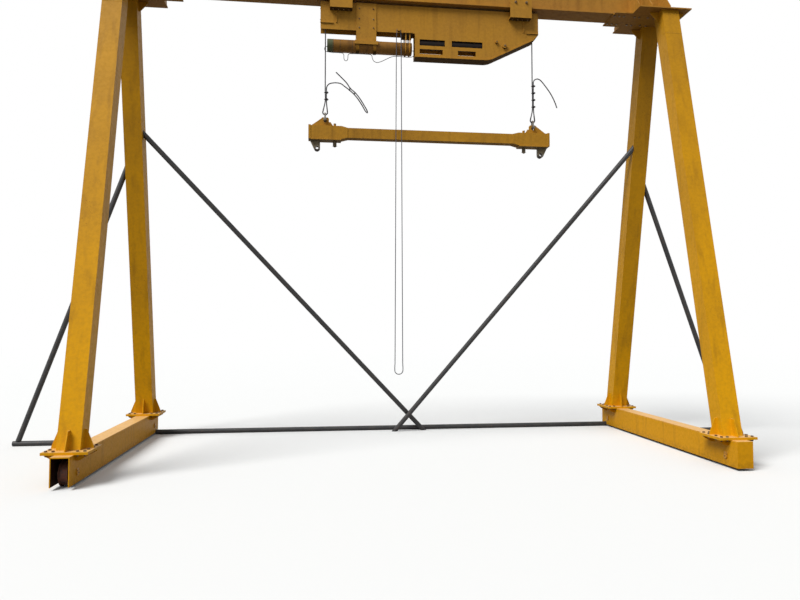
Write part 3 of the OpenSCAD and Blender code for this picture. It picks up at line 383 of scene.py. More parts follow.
for side, across in (("left", -ROPE_X), ("right", ROPE_X)):
    foot = Vector((TROLLEY.x + across, 0.0, 0.0))
    top = THROAT_Z + doubled[side]
    line, length = smooth(placed(tails[side], foot + Vector((0, 0, top))))
    tail = laid("rope_tail_strands_" + side, line, ROPE_R, 6, ROPE_LAY, steel_rope)
    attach(tail, "spreader")
    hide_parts("rope_tail_" + side)

    throat = THROAT_Z - EYE_Z
    left_arc = 90 + math.degrees(math.asin(EYE_R / throat))
    right_arc = 90 + math.degrees(math.atan2(throat, STRAND) - math.acos(EYE_R / math.hypot(STRAND, throat)))
    around = [270 + (left_arc if i < 0 else right_arc) * i / 8 for i in range(-8, 9)]
    eye_line = [Vector((0, 0, throat + doubled[side])), Vector((0, 0, throat))]
    eye_line += [EYE_R * Vector((math.cos(math.radians(a)), 0.0, math.sin(math.radians(a)))) for a in around]
    eye_line += [Vector((STRAND, 0, throat)), Vector((STRAND, 0, throat + doubled[side]))]
    line = smooth([foot + Vector((0, 0, EYE_Z)) + point for point in eye_line])[0]
    rope_eye = laid("rope_eye_strands_" + side, line, ROPE_R, 6, ROPE_LAY, steel_rope)
    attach(rope_eye, "spreader")
    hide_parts("rope_eye_" + side)

    low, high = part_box("rope_" + side)
    line = smooth([foot + Vector((0, 0, high.z)), foot + Vector((0, 0, low.z))])[0]
    rope = laid("hoist_rope_strands_" + side, line, ROPE_R, 6, ROPE_LAY, steel_rope)
    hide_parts("rope_" + side)
    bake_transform(rope)

    # The thimble is a thin grooved strip round the inside of the eye.
    groove = bmesh.new()
    section = [(0.0305, -0.0102), (0.0262, -0.0100), (0.0243, -0.006), (0.0241, 0.0), (0.0243, 0.006),
               (0.0262, 0.0100), (0.0305, 0.0102)]
    first = math.radians(270 - left_arc)
    centre = foot + Vector((0, 0, EYE_Z))
    rim = [groove.verts.new(centre + Vector((r * math.cos(first), y, r * math.sin(first))))
           for r, y in section]
    chain = [groove.edges.new(pair) for pair in zip(rim, rim[1:])]
    spun = bmesh.ops.spin(groove, geom=rim + chain, cent=centre, axis=(0, 1, 0),
                          angle=-math.radians(left_arc + right_arc), steps=20)
    last = [e for e in spun["geom_last"] if isinstance(e, bmesh.types.BMEdge)]
    for edges, way in ((chain, (0.0153, 0.0, 0.070)), (last, (-0.0071, 0.0, 0.070))):
        grown = bmesh.ops.extrude_edge_only(groove, edges=edges)
        moved = [v for v in grown["geom"] if isinstance(v, bmesh.types.BMVert)]
        bmesh.ops.translate(groove, verts=moved, vec=way)
    bmesh.ops.recalc_face_normals(groove, faces=groove.faces)
    bmesh.ops.solidify(groove, geom=groove.faces[:], thickness=0.0010)
    piece_of("thimble_" + side, groove, black_iron, "spreader")

    # Each clip has a U-bolt round the standing strand, and a forged saddle with two nuts on the dead one.
    saddles = bmesh.new()
    hoops = []
    for z in clip_heights[side]:
        spot = foot + Vector((0, 0, z))
        bend = [Vector((math.cos(math.radians(a)), math.sin(math.radians(a)), 0)) for a in range(90, 271, 20)]
        hoop = [Vector((CLIP_END, CLIP_R, 0)), *[CLIP_R * point for point in bend],
                Vector((CLIP_END, -CLIP_R, 0))]
        hoops.append([spot + point for point in hoop])
        block(saddles, spot + Vector((0.0215, -0.0210, -0.0115)), spot + Vector((CLIP_FACE, 0.0210, 0.0115)),
              0.003)
        for y in (-CLIP_R, CLIP_R):
            bolt(saddles, spot + Vector((CLIP_FACE, y, 0)), (1, 0, 0), 0.0078)
    rods("rope_clip_hoops_" + side, hoops, 0.0035, black_iron, "spreader")
    piece_of("rope_clip_saddles_" + side, saddles, black_iron, "spreader")

# Soft wire is wound round the folded tail in two places.
windings = []
WIRE_OUT, WIRE_STEP = 0.0098, 0.0035
fold_top = Vector((TROLLEY.x - ROPE_X, 0.0, THROAT_Z + doubled["left"]))
for one, other, ahead in (((317, -122, -26), (330, -146, -12), (375, -128, -78)),
                          ((375, -128, -78), (397, -165, -78), (432, -130, -145))):
    one, other, ahead = placed((one, other, ahead), fold_top)
    middle, wide, along = (one + other) / 2, other - one, (ahead - one).normalized()
    thin = along.cross(wide).normalized() * WIRE_OUT
    reach = wide.normalized() * (wide.length / 2 + WIRE_OUT)
    windings.append([middle + along * (WIRE_STEP * i / 12 - 0.007) + reach * math.cos(math.tau * i / 12)
                     + thin * math.sin(math.tau * i / 12) for i in range(49)])
rods("tail_windings", windings, 0.0016, black_iron, "spreader")

# ---- The studio ----
# A soft key lamp from the front left and an even pale sky, over a plain pale floor. What is seen of the sky,
# straight or in a gloss, is white, and the floor goes over into it far from the crane. The floor looks pale,
# but throws back less light than it shows, so the undersides stay dark.
key = bpy.data.lights.new("key", "SUN")
key.energy = 3.5
key.angle = math.radians(32.0)
key_lamp = bpy.data.objects.new("key_lamp", key)
key_lamp.rotation_euler = (math.radians(40.0), 0.0, math.radians(-52.0))
scene.collection.objects.link(key_lamp)


def plainly_seen(tree, rays):
    """Whether a ray comes straight from the camera or by way of a gloss or a glass."""
    in_gloss = reckon(tree, "MAXIMUM", rays.outputs["Is Glossy Ray"], rays.outputs["Is Transmission Ray"])
    return reckon(tree, "MAXIMUM", rays.outputs["Is Camera Ray"], in_gloss)


sky = bpy.data.worlds.new("sky")
sky.use_nodes = True
scene.world = sky
tree = sky.node_tree
even = tree.nodes["Background"]
even.inputs["Color"].default_value = (0.93, 0.96, 1.0, 1.0)
even.inputs["Strength"].default_value = 0.42
white = add(tree, "ShaderNodeBackground", {"Color": (1.0, 1.0, 1.0, 1.0)})
rays = add(tree, "ShaderNodeLightPath")
choose = add(tree, "ShaderNodeMixShader",
             {0: plainly_seen(tree, rays), 1: even.outputs[0], 2: white.outputs[0]})
tree.links.new(choose.outputs["Shader"], tree.nodes["World Output"].inputs["Surface"])

ground = bmesh.new()
bmesh.ops.create_grid(ground, x_segments=1, y_segments=1, size=90.0)
floor_mesh = bpy.data.meshes.new("floor")
ground.to_mesh(floor_mesh)
ground.free()
floor = bpy.data.objects.new("floor", floor_mesh)
scene.collection.objects.link(floor)
floor_paint, tree, shader = finish("floor_paint", (228, 228, 226), 0.95)
rays = add(tree, "ShaderNodeLightPath")
tree.links.new(mixed(tree, rays.outputs["Is Diffuse Ray"], seen(228, 228, 226), seen(104, 103, 100)),
               shader.inputs["Base Color"])
place = add(tree, "ShaderNodeTexCoord").outputs["Object"]
away = add(tree, "ShaderNodeVectorMath", {0: place}, operation="LENGTH").outputs["Value"]
far = reckon(tree, "MULTIPLY", spread(tree, away, 9.0, 42.0), plainly_seen(tree, rays))
glow = add(tree, "ShaderNodeEmission", {"Color": (1.0, 1.0, 1.0, 1.0), "Strength": 1.0})
joined = add(tree, "ShaderNodeMixShader", {0: far, 1: shader.outputs[0], 2: glow.outputs[0]})
tree.links.new(joined.outputs["Shader"], tree.nodes["Material Output"].inputs["Surface"])
floor_mesh.materials.append(floor_paint)

# ---- End carriages ----
# Two box girders on wheels, welded of plate, with a bolted seat at each end for a leg and a fixed axle in
# each wheel bay. The paint is yellow enamel: bright low down, duller and browner higher up, with thin rain
# streaks, worn patches, small spots of rust and grime near the floor.
weather = bpy.data.node_groups.new("weathered_paint", "ShaderNodeTree")
for label, kind, start in (("Place", "NodeSocketVector", None),
                           ("Fresh", "NodeSocketColor", seen(224, 162, 14)),
                           ("Dull", "NodeSocketColor", seen(186, 132, 48)),
                           ("Stain", "NodeSocketColor", seen(104, 66, 24)),
                           ("Dulled", "NodeSocketFloat", 0.5), ("Streaks", "NodeSocketFloat", 0.4),
                           ("Rust", "NodeSocketFloat", 0.4)):
    socket = weather.interface.new_socket(name=label, in_out="INPUT", socket_type=kind)
    if start is not None:
        socket.default_value = start
for label, kind in (("Color", "NodeSocketColor"), ("Roughness", "NodeSocketFloat"),
                    ("Height", "NodeSocketFloat")):
    weather.interface.new_socket(name=label, in_out="OUTPUT", socket_type=kind)
given = weather.nodes.new("NodeGroupInput")
place = given.outputs["Place"]
patches = clouds(weather, place, 1.1, 5.0, 0.55)
tall = add(weather, "ShaderNodeMapping", {"Vector": place, "Scale": (13.0, 13.0, 0.9)}).outputs["Vector"]
runs = clouds(weather, tall, 1.0)
mottle = clouds(weather, place, 26.0, 7.0, 0.62)
pits = clouds(weather, place, 64.0, 6.0, 0.7)
height = add(weather, "ShaderNodeSeparateXYZ", {0: place}).outputs["Z"]
aged = reckon(weather, "MULTIPLY", spread(weather, height, 0.8, 6.2), given.outputs["Dulled"])
aged = reckon(weather, "ADD", aged, spread(weather, patches, 0.3, 0.7, -0.22, 0.32))
colour = mixed(weather, aged, given.outputs["Fresh"], given.outputs["Dull"])
colour = mixed(weather, spread(weather, mottle, 0.4, 0.75, 0.0, 0.25), colour, given.outputs["Stain"])
streak = reckon(weather, "MULTIPLY", spread(weather, runs, 0.52, 0.76), given.outputs["Streaks"])
colour = mixed(weather, streak, colour, given.outputs["Stain"])
rusty = reckon(weather, "MULTIPLY", spread(weather, pits, 0.585, 0.64), spread(weather, patches, 0.5, 0.64))
rusty = reckon(weather, "MULTIPLY", rusty, given.outputs["Rust"])
colour = mixed(weather, rusty, colour, seen(98, 54, 26))
low_down = spread(weather, height, 0.02, 0.12, 0.35, 0.0)
grimy = reckon(weather, "MULTIPLY", low_down, spread(weather, mottle, 0.35, 0.6))
colour = mixed(weather, grimy, colour, seen(88, 58, 22))
rough = reckon(weather, "ADD", spread(weather, mottle, 0.3, 0.7, 0.40, 0.58),
               reckon(weather, "MULTIPLY", rusty, 0.4))
bumps = reckon(weather, "SUBTRACT", reckon(weather, "MULTIPLY", mottle, 0.6),
               reckon(weather, "MULTIPLY", rusty, 0.5))
handed = weather.nodes.new("NodeGroupOutput")
for socket, value in (("Color", colour), ("Roughness", rough), ("Height", bumps)):
    weather.links.new(value, handed.inputs[socket])


def painted(name, fresh, dull, stain, dulled, streaks, rust, underside_shade_depth=0.0):
    """One of the crane's yellows. Its tops get a painted pale sky reflection, and its undersides painted
    near-black shade.
    """
    made, tree, shader = finish(name, fresh, 0.45)
    shader.inputs["Specular IOR Level"].default_value = 0.12
    coat = add(tree, "ShaderNodeGroup", node_tree=weather)
    where = add(tree, "ShaderNodeTexCoord")
    tree.links.new(where.outputs["Object"], coat.inputs["Place"])
    for label, value in (("Fresh", seen(*fresh)), ("Dull", seen(*dull)), ("Stain", seen(*stain)),
                         ("Dulled", dulled), ("Streaks", streaks), ("Rust", rust)):
        coat.inputs[label].default_value = value
    upward = add(tree, "ShaderNodeSeparateXYZ", {0: where.outputs["Normal"]}).outputs["Z"]
    # Faces turned up are painted paler: a painted reflection of the sky on the tops.
    painted_sky_sheen_on_tops = spread(tree, upward, 0.75, 0.95, 0.0, 0.35)
    colour = mixed(tree, painted_sky_sheen_on_tops, coat.outputs["Color"], seen(226, 200, 162))
    # Faces turned down are painted near-black: painted shade, as deep as the last argument asks, and made
    # more matt there.
    painted_underside_shade = spread(tree, upward, -0.85, -0.6, underside_shade_depth, 0.0)
    tree.links.new(mixed(tree, painted_underside_shade, colour, seen(16, 11, 8)), shader.inputs["Base Color"])
    matt = reckon(tree, "MULTIPLY", painted_underside_shade, 0.45)
    tree.links.new(reckon(tree, "ADD", coat.outputs["Roughness"], matt), shader.inputs["Roughness"])
    relief(tree, shader, coat.outputs["Height"], 0.05, 0.004)
    return made


def repainted(material, share, colour):
    """Covers a part of a material with another colour, by a share that is 0 or 1 from place to place."""
    tree = material.node_tree
    base = tree.nodes["Principled BSDF"].inputs["Base Color"]
    tree.links.new(mixed(tree, share, base.links[0].from_socket, colour), base)


def inside(tree, value, low, high, edge=0.001):
    """1 where a value lies between two limits, else 0."""
    return reckon(tree, "MULTIPLY", spread(tree, value, low - edge, low),
                  spread(tree, value, high, high + edge, 1.0, 0.0))


def off_middle(tree):
    """How far a place on the piece lies from the crane's middle, along each axis."""
    place = add(tree, "ShaderNodeTexCoord").outputs["Object"]
    away = add(tree, "ShaderNodeVectorMath", {0: place}, operation="ABSOLUTE").outputs[0]
    return add(tree, "ShaderNodeSeparateXYZ", {0: away}).outputs


def dress(material, *names):
    """Gives the steel pieces of the frame their material."""
    for name in names:
        for slot in nodes[name].material_slots:
            slot.material = material


CARRIAGE_X, WHEEL_Y, WHEEL_Z = 3.670, 1.565, 0.134
BAY_X, BAY_Y, BAY_Z = 0.0855, 1.7715, 0.3185
FOOT_Y, HEAD_Y, LEG_Z, HEAD_Z = 1.456, 0.262, 0.358, 6.000
carriage_yellow = painted("carriage_yellow", (216, 152, 8), (196, 136, 20), (132, 84, 16), 0.6, 0.3, 0.6)
dress(carriage_yellow, "carriage_left_inner", "carriage_left_outer", "carriage_left_top",
      "carriage_right_inner", "carriage_right_outer", "carriage_right_top")
# The inside of the carriages is coloured near-black dark red: painted shade in the wheel bays.
tree = carriage_yellow.node_tree
away = off_middle(tree)
bay_painted_shade = reckon(tree, "MULTIPLY", inside(tree, away["X"], CARRIAGE_X - BAY_X, CARRIAGE_X + BAY_X),
                inside(tree, away["Y"], -1.0, BAY_Y))
bay_painted_shade = reckon(tree, "MULTIPLY", bay_painted_shade, inside(tree, away["Z"], -1.0, BAY_Z))
repainted(carriage_yellow, bay_painted_shade, seen(44, 26, 22))

zinc, tree, shader = finish("bolt_zinc", (116, 98, 70), 0.6, 0.3)
place = add(tree, "ShaderNodeTexCoord").outputs["Object"]
bloom = clouds(tree, place, 34.0, 6.0, 0.6)
tree.links.new(mixed(tree, spread(tree, bloom, 0.42, 0.6), seen(124, 104, 72), seen(88, 52, 28)),
               shader.inputs["Base Color"])
tree.links.new(spread(tree, bloom, 0.4, 0.65, 0.42, 0.8), shader.inputs["Roughness"])
relief(tree, shader, bloom, 0.25, 0.001)

SEAM_Z, SIDE, END_Y = 0.318, 0.095, 1.780
seams = []
for side in (-1, 1):
    for face in (-SIDE, SIDE):
        seams.append([Vector((side * CARRIAGE_X + face, y, SEAM_Z)) for y in (-END_Y + 0.002, END_Y - 0.002)])
    for end in (-1, 1):
        if (side, end) != (-1, -1):
            cap = [(side * CARRIAGE_X + x, end * (END_Y - 0.0005), z)
                   for x, z in ((-0.0845, SEAM_Z), (-0.0845, 0.031), (0.0845, 0.031), (0.0845, SEAM_Z))]
            seams.append([Vector(point) for point in cap])
rods("carriage_welds", seams, 0.0028, carriage_yellow, "frame", 0.016)

SEAT_UNDER, FOOT_BOLT, AXLE_OUT = 0.330, 0.0175, 0.109
foot_holes = ((0.190, 0.070), (0.190, -0.070), (0.190, 0.175), (0.190, -0.175), (0.118, 0.175),
              (0.118, -0.175))
fixings = bmesh.new()
for side in (-1, 1):
    for end in (-1, 1):
        for x, y in foot_holes:
            for across in (-x, x):
                spot = Vector((side * CARRIAGE_X + across, end * FOOT_Y + y, 0.0))
                bolt(fixings, spot + Vector((0, 0, LEG_Z)), (0, 0, 1), FOOT_BOLT)
                bolt(fixings, spot + Vector((0, 0, SEAT_UNDER)), (0, 0, -1), FOOT_BOLT, 0.008)
        for face in (-1, 1):
            out = Vector((face, 0, 0))
            axle_end = Vector((side * CARRIAGE_X + face * AXLE_OUT, end * WHEEL_Y, WHEEL_Z))
            for y in (-0.021, 0.021):
                bolt(fixings, axle_end + Vector((face * -0.006, y, 0.0225)), out, 0.0065)
            disc(fixings, axle_end, out, 0.006, 0.010, 8, 0.5)
piece_of("carriage_bolts", fixings, zinc, "frame")

# ---- Travel wheels and axles ----
# Cast iron wheels with two flanges, left rough and brown with rust. They turn on fixed steel axles, which
# keeper plates lock in the side plates.
iron, tree, shader = finish("wheel_iron", (84, 50, 36), 0.7, 0.25)
place = add(tree, "ShaderNodeTexCoord").outputs["Object"]
scale = clouds(tree, place, 30.0, 7.0, 0.65)
tree.links.new(mixed(tree, spread(tree, scale, 0.35, 0.65), seen(52, 34, 28), seen(112, 64, 42)),
               shader.inputs["Base Color"])
tree.links.new(spread(tree, scale, 0.3, 0.7, 0.5, 0.85), shader.inputs["Roughness"])
relief(tree, shader, clouds(tree, place, 120.0), 0.5, 0.002)
dress(iron, "wheel_left_near", "wheel_left_far", "wheel_right_near", "wheel_right_far")

turned, tree, shader = finish("turned_steel", (120, 116, 108), 0.4, 0.85)
place = add(tree, "ShaderNodeTexCoord").outputs["Object"]
film = clouds(tree, place, 18.0, 5.0)
tree.links.new(mixed(tree, spread(tree, film, 0.45, 0.7), seen(118, 114, 106), seen(78, 60, 46)),
               shader.inputs["Base Color"])
tree.links.new(spread(tree, film, 0.35, 0.7, 0.32, 0.7), shader.inputs["Roughness"])
relief(tree, shader, clouds(tree, place, 200.0, 2.0), 0.2, 0.0005)

# The axles are steel in the wheel bays. Their ends and keeper plates outside are painted over in yellow.
axle_look = turned.copy()
axle_look.name = "axle_steel_part_painted"
tree = axle_look.node_tree
shader = tree.nodes["Principled BSDF"]
BARE_X = 0.0945
bare = inside(tree, off_middle(tree)["X"], CARRIAGE_X - BARE_X, CARRIAGE_X + BARE_X)
steel_colour = shader.inputs["Base Color"].links[0].from_socket
tree.links.new(mixed(tree, bare, seen(190, 132, 20), steel_colour), shader.inputs["Base Color"])
tree.links.new(reckon(tree, "MULTIPLY", bare, 0.85), shader.inputs["Metallic"])
dress(axle_look, "axles_left", "axles_right")

# ---- Legs ----
# Four leaning box legs of welded plate. Each stands on a bolted foot flange with gussets, and is welded under
# its head plate. A butt weld runs round each box a little below the head.
leg_yellow = painted("leg_yellow", (218, 156, 8), (182, 130, 24), (120, 82, 24), 0.95, 0.35, 0.6)
dress(leg_yellow, "leg_left_near", "leg_left_far", "leg_right_near", "leg_right_far")


def leg_y(z):
    """The middle of a leg at a height, from the middle of the crane."""
    return FOOT_Y - (FOOT_Y - HEAD_Y) * (z - LEG_Z) / (HEAD_Z - LEG_Z)


HALF_W, HALF_D, BUTT_Z = 0.120, 0.1075, 5.640
GUSSET, GUSSET_OUT, GUSSET_HALF = 0.200, 0.092, 0.006
leg_welds = []
for side in (-1, 1):
    for end in (-1, 1):
        for z, out in ((LEG_Z + 0.001, 0.0), (BUTT_Z, -0.0015), (HEAD_Z - 0.001, 0.0)):
            ring = [Vector((side * CARRIAGE_X + x * (HALF_W + out), end * leg_y(z) + y * (HALF_D + out), z))
                    for x, y in ((-1, -1), (1, -1), (1, 1), (-1, 1), (-1, -1))]
            leg_welds.append(ring)
        top = LEG_Z + GUSSET
        for face in (-1, 1):
            for skew in (-GUSSET_HALF, GUSSET_HALF):
                y = end * leg_y(LEG_Z + GUSSET / 2) + skew
                leg_welds.append([Vector((side * CARRIAGE_X + face * x, y, z)) for x, z in
                                  ((HALF_W + GUSSET_OUT, LEG_Z), (HALF_W, LEG_Z), (HALF_W, top))])
                x = side * CARRIAGE_X + skew
                leg_welds.append([Vector((x, end * leg_y(LEG_Z) + face * (HALF_D + GUSSET_OUT), LEG_Z)),
                                  Vector((x, end * leg_y(LEG_Z) + face * HALF_D, LEG_Z)),
                                  Vector((x, end * leg_y(top) + face * HALF_D, top))])
rods("leg_welds", leg_welds, 0.0045, leg_yellow, "frame", 0.012)

# ---- Head plates and girder ----
# The girder is a box of two webs between two flanges, with slanted closed ends. Its bottom flange is bolted
# down on the two head plates, and side brackets stand on these against the webs.
girder_yellow = painted("girder_yellow", (202, 144, 30), (172, 122, 50), (104, 66, 26), 0.9, 0.35, 0.7, 0.35)
dress(girder_yellow, "girder_bottom_flange", "girder_web_near", "girder_web_far", "girder_top_flange",
      "girder_end_left", "girder_end_right", "head_plate_left", "head_plate_right")

WEB_Y, RUN_Z, CAP_Z, UNDER = 0.092, 6.030, 6.532, 6.016
BRACKET_OUT, BRACKET_IN, BRACKET_H = 0.382, 0.145, 0.400
girder_welds = []
for y in (-WEB_Y, WEB_Y):
    girder_welds.append([Vector((x, y, RUN_Z)) for x in (-3.842, 3.842)])
    girder_welds.append([Vector((x, y, CAP_Z)) for x in (-3.656, 3.656)])
    for x in (-1.480, 1.720):
        girder_welds.append([Vector((x, y, z)) for z in (RUN_Z, CAP_Z)])
    for side in (-1, 1):
        for along in (-0.455, -0.265, 0.0):
            for skew in (-0.006, 0.006):
                x = side * (CARRIAGE_X + along) + skew
                out = 1 if y > 0 else -1
                girder_welds.append([Vector((x, out * far, UNDER)) for far in (BRACKET_OUT, BRACKET_IN)])
                girder_welds.append([Vector((x, y, z)) for z in (RUN_Z, UNDER + BRACKET_H)])
rods("girder_welds", girder_welds, 0.004, girder_yellow, "frame", 0.022)

fixings = bmesh.new()
for side in (-1, 1):
    for along in (-0.690, -0.620, -0.550, -0.395, -0.325, -0.195, -0.105, 0.070, 0.135):
        for y in (-0.120, 0.120):
            spot = Vector((side * (CARRIAGE_X + along), y, 0.0))
            bolt(fixings, spot + Vector((0, 0, RUN_Z)), (0, 0, 1), 0.0165, 0.008)
            bolt(fixings, spot + Vector((0, 0, HEAD_Z)), (0, 0, -1), 0.0165)
piece_of("head_bolts", fixings, zinc, "frame")

# ---- Hoist trolley ----
# Two side plates with a deep part, slots and low windows, closed by end plates and a bent strip along the
# lower edge. It hangs from two bogies whose rollers run on the girder's bottom flange. The rope drum's casing
# shows behind the slots.
trolley_yellow = painted("trolley_yellow", (196, 140, 32), (178, 128, 46), (104, 66, 24), 0.9, 0.35, 0.9, 0.9)
dress(trolley_yellow, "trolley_side_near", "trolley_side_far", "trolley_frame_ties", "bogie_left",
      "bogie_right", "tube_hanger", "tube_clamps")
# The rope drum is coloured near-black: painted shade for the dark inside of the frame behind the slots.
drum_painted_shade, tree, shader = finish("dark_primer", (34, 22, 18), 0.6)
shader.inputs["Specular IOR Level"].default_value = 0.15
place = add(tree, "ShaderNodeTexCoord").outputs["Object"]
dust = clouds(tree, place, 16.0, 6.0, 0.6)
tree.links.new(mixed(tree, spread(tree, dust, 0.4, 0.7), seen(14, 10, 9), seen(36, 25, 20)),
               shader.inputs["Base Color"])
tree.links.new(spread(tree, dust, 0.3, 0.7, 0.45, 0.8), shader.inputs["Roughness"])
relief(tree, shader, dust, 0.2, 0.002)
dress(drum_painted_shade, "rope_drum")

PLATE_Y, BOGIE_X, FRAME_END = 0.075, 1.230, 1.500
strip_edge = ((-0.230, -0.720), (0.7386, -0.720), (0.800, -0.7126), (0.8549, -0.6925), (1.440, -0.400))
trolley_welds = []
for y in (-PLATE_Y, PLATE_Y):
    trolley_welds.append([TROLLEY + Vector((x, y, z)) for x, z in strip_edge])
    for x in (-FRAME_END, FRAME_END):
        trolley_welds.append([TROLLEY + Vector((x, y, z)) for z in (-0.036, -0.338)])
    for x in (-BOGIE_X, BOGIE_X):
        trolley_welds.append([TROLLEY + Vector((x + run, y, -0.138)) for run in (-0.148, 0.148)])
rods("trolley_welds", trolley_welds, 0.003, trolley_yellow, "trolley", 0.016)

fixings = bmesh.new()
ROLLER_Z, YOKE_Y, YOKE_FOOT = 6.0803, 0.173, 0.118
for x in (-BOGIE_X, BOGIE_X):
    for face in (-1, 1):
        for run in (-0.075, 0.075):
            bolt(fixings, Vector((TROLLEY.x + x + run, face * YOKE_Y, ROLLER_Z)), (0, face, 0), 0.019, 0.006)
        for run in (-0.105, -0.035, 0.035, 0.105):
            bolt(fixings, TROLLEY + Vector((x + run, face * YOKE_FOOT, -0.150)), (0, 0, -1), 0.0105, 0.005)
for face in (-1, 1):
    for x in (-0.985, -0.795):
        for z in (-0.110, -0.250, -0.370):
            bolt(fixings, TROLLEY + Vector((x, face * 0.087, z)), (0, face, 0), 0.0105)
    for x in (-1.036, -0.744):
        bolt(fixings, TROLLEY + Vector((x, face * 0.098, -0.556)), (0, 0, 1), 0.0085)
for along in (-1, 1):
    for y in (-0.035, 0.035):
        for z in (-0.085, -0.270):
            bolt(fixings, TROLLEY + Vector((along * FRAME_END, y, z)), (along, 0, 0), 0.0095)
bolt(fixings, TROLLEY + Vector((1.020, -0.105, -0.520)), (0, -1, 0), 0.0140)
bolt(fixings, TROLLEY + Vector((0.905, -0.105, -0.470)), (0, -1, 0), 0.0100)
piece_of("trolley_bolts", fixings, zinc, "trolley")

# ---- Hanging tube ----
# A closed steel tube under the left part of the trolley, with a cable gland at each end. A saddle with two
# straps carries it, and two U-bolts hold its right end.
tube_yellow = painted("tube_yellow", (160, 112, 36), (132, 92, 40), (66, 46, 26), 0.9, 0.6, 1.0)
dress(tube_yellow, "hanging_tube")
# The last hand's breadth of its left end was never painted and is a greenish grey.
tree = tube_yellow.node_tree
place = add(tree, "ShaderNodeTexCoord").outputs["Object"]
along = add(tree, "ShaderNodeSeparateXYZ", {0: place}).outputs["X"]
repainted(tube_yellow, inside(tree, along, -1.1, -0.965, 0.02), seen(84, 88, 62))
END_R = 0.078
turns = [math.tau * i / 32 for i in range(33)]
tube_welds = [[TUBE_LINE + Vector((x, END_R * math.cos(a), END_R * math.sin(a))) for a in turns]
              for x in (-1.410, -0.270)]
rods("tube_welds", tube_welds, 0.003, tube_yellow, "trolley", 0.010)

# ---- Spreader ----
# A hollow square beam with a heavier box at each end. An eye lug takes the rope's shackle, and a turned pin
# locks what is hung under the box. Below each end a bare forged lug with a rim round its hole takes the load.
dull_yellow = painted("spreader_yellow", (196, 142, 36), (164, 116, 38), (92, 60, 22), 0.9, 0.35, 1.0, 0.55)
tree = dull_yellow.node_tree
place = add(tree, "ShaderNodeTexCoord").outputs["Object"]
height = add(tree, "ShaderNodeSeparateXYZ", {0: place}).outputs["Z"]
scale = spread(tree, clouds(tree, place, 30.0, 6.0, 0.6), 0.35, 0.65)
forged_with_painted_shade = mixed(tree, scale, seen(92, 82, 64), seen(132, 120, 96))
# The lugs' lowest few centimetres go near-black: painted shade on their rounded undersides.
forged_with_painted_shade = mixed(tree, spread(tree, height, 3.985, 4.018), seen(46, 40, 36), forged_with_painted_shade)
repainted(dull_yellow, inside(tree, height, 3.0, 4.1115, 0.002), forged_with_painted_shade)
dress(dull_yellow, "spreader_beam", "spreader_end_left", "spreader_end_right")
dress(turned, "shackle_left", "shackle_right")

SPREADER_Z, SHACKLE_Z = 4.216, 4.3932
HOLE_X, HOLE_Z, RIM_R = 1.540, -0.2035, 0.0245
spreader_welds, bars, split_pins, rims = [], [], [], []
fixings = bmesh.new()
for side in (-1, 1):
    middle = Vector((TROLLEY.x, 0.0, SPREADER_Z))
    for x, y, z in ((1.136, 0.060, 0.067), (1.625, 0.066, 0.0875)):
        spreader_welds.append([middle + Vector((side * x, a * y, b * z))
                               for a, b in ((-1, -1), (1, -1), (1, 1), (-1, 1), (-1, -1))])
    for y in (-1, 1):
        spreader_welds.append([middle + Vector((side * x, y * 0.066, -0.0875)) for x in (1.222, 1.624)])
        spreader_welds.append([middle + Vector((side * x, y * 0.010, 0.0875)) for x in (1.384, 1.610)])
        rims.append([middle + Vector((side * HOLE_X + RIM_R * math.cos(a), y * 0.0312,
                                      RIM_R * math.sin(a) + HOLE_Z)) for a in turns])
    pin = middle + Vector((side * 1.305, 0, 0))
    bars.append([pin + Vector((0, y, 0.118)) for y in (-0.052, 0.052)])
    split_pins.append([pin + Vector((x, 0, -0.170)) for x in (-0.034, 0.034)])
    shackle = Vector((TROLLEY.x + side * ROPE_X, 0, SHACKLE_Z))
    bolt(fixings, shackle + Vector((0, -0.050, 0)), (0, -1, 0), 0.0185)
    bolt(fixings, shackle + Vector((0, 0.050, 0)), (0, 1, 0), 0.0185, 0.010)
    split_pins.append([shackle + Vector((x, 0.070, 0)) for x in (-0.016, 0.016)])
piece_of("shackle_nuts", fixings, turned, "spreader")
rods("hook_hole_rims", rims, 0.0032, turned, "spreader")
rods("spreader_welds", spreader_welds, 0.0035, dull_yellow, "spreader", 0.014)
rods("lock_pin_bars", bars, 0.006, black_iron, "spreader")
rods("split_pins", split_pins, 0.0025, turned, "spreader")

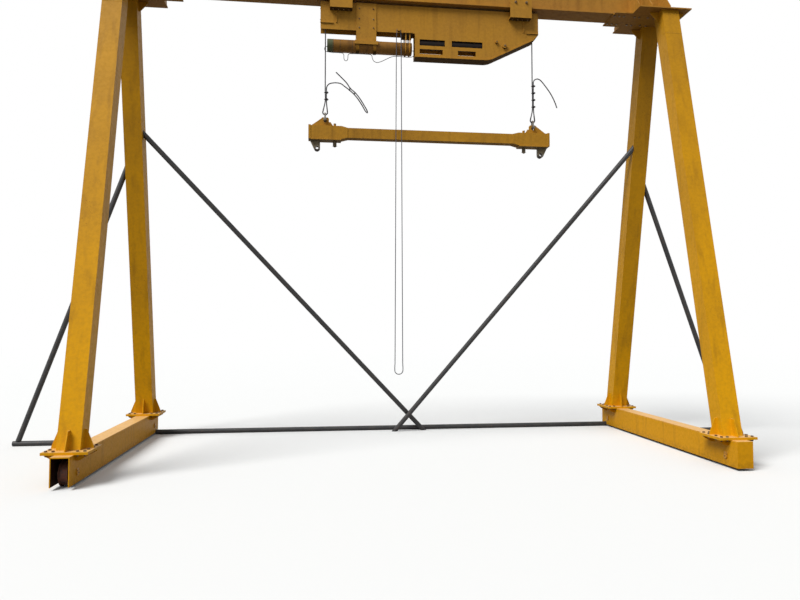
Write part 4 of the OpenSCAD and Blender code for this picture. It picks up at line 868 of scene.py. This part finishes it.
# ---- Bracing pipes ----
# Black painted pipes that hold the legs while the crane is put up: two crossed ones to the floor between the
# legs, one outside each far leg, and ties along the floor. Their ends are cut to the plates and tack welded.
black_pipe, tree, shader = finish("black_pipe", (33, 34, 35), 0.5)
place = add(tree, "ShaderNodeTexCoord").outputs["Object"]
chalk = clouds(tree, place, 5.0, 8.0, 0.6)
scuff = clouds(tree, place, 48.0, 6.0, 0.65)
colour = mixed(tree, spread(tree, chalk, 0.4, 0.7), seen(28, 29, 31), seen(58, 56, 54))
colour = mixed(tree, spread(tree, scuff, 0.60, 0.68), colour, seen(104, 72, 50))
tree.links.new(colour, shader.inputs["Base Color"])
tree.links.new(spread(tree, chalk, 0.3, 0.7, 0.4, 0.7), shader.inputs["Roughness"])
relief(tree, shader, scuff, 0.2, 0.001)
dress(black_pipe, "brace_inner_left", "brace_inner_right", "brace_outer_left", "brace_outer_right",
      "ground_tie", "foot_tie_left", "foot_tie_right")

PIPE_R, TIE_Y, FOOT_TIE_Y = 0.035, 1.655, 0.850
INNER_Z, OUTER_Z = 4.300, 3.850
ends = [
    (Vector((-3.5497, leg_y(INNER_Z), INNER_Z)), Vector((0.520, 1.577, 0.0))),
    (Vector((3.5497, leg_y(INNER_Z) - 0.078, INNER_Z)), Vector((0.050, 1.499, 0.0))),
    (Vector((-3.7903, leg_y(OUTER_Z), OUTER_Z)), Vector((-5.190, FOOT_TIE_Y, 0.070))),
    (Vector((3.7903, leg_y(OUTER_Z), OUTER_Z)), Vector((5.190, FOOT_TIE_Y, 0.070))),
    (Vector((-3.5750, TIE_Y, PIPE_R)), Vector((3.5750, TIE_Y, PIPE_R))),
    (Vector((3.5750, TIE_Y, PIPE_R)), Vector((-3.5750, TIE_Y, PIPE_R))),
    (Vector((-3.7650, FOOT_TIE_Y, PIPE_R)), Vector((-5.260, FOOT_TIE_Y, PIPE_R))),
    (Vector((3.7650, FOOT_TIE_Y, PIPE_R)), Vector((5.260, FOOT_TIE_Y, PIPE_R))),
]
tacks = []
for top, foot in ends:
    along = (foot - top).normalized()
    across = along.cross(Vector((0, 0, 1))).normalized()
    upward = across.cross(along)
    ring = []
    for i in range(25):
        a = math.tau * i / 24
        point = top + PIPE_R * (across * math.cos(a) + upward * math.sin(a))
        ring.append(point + along * ((top.x - point.x) / along.x))
    tacks.append(ring)
rods("brace_welds", tacks, 0.0045, black_iron, "frame", 0.010)
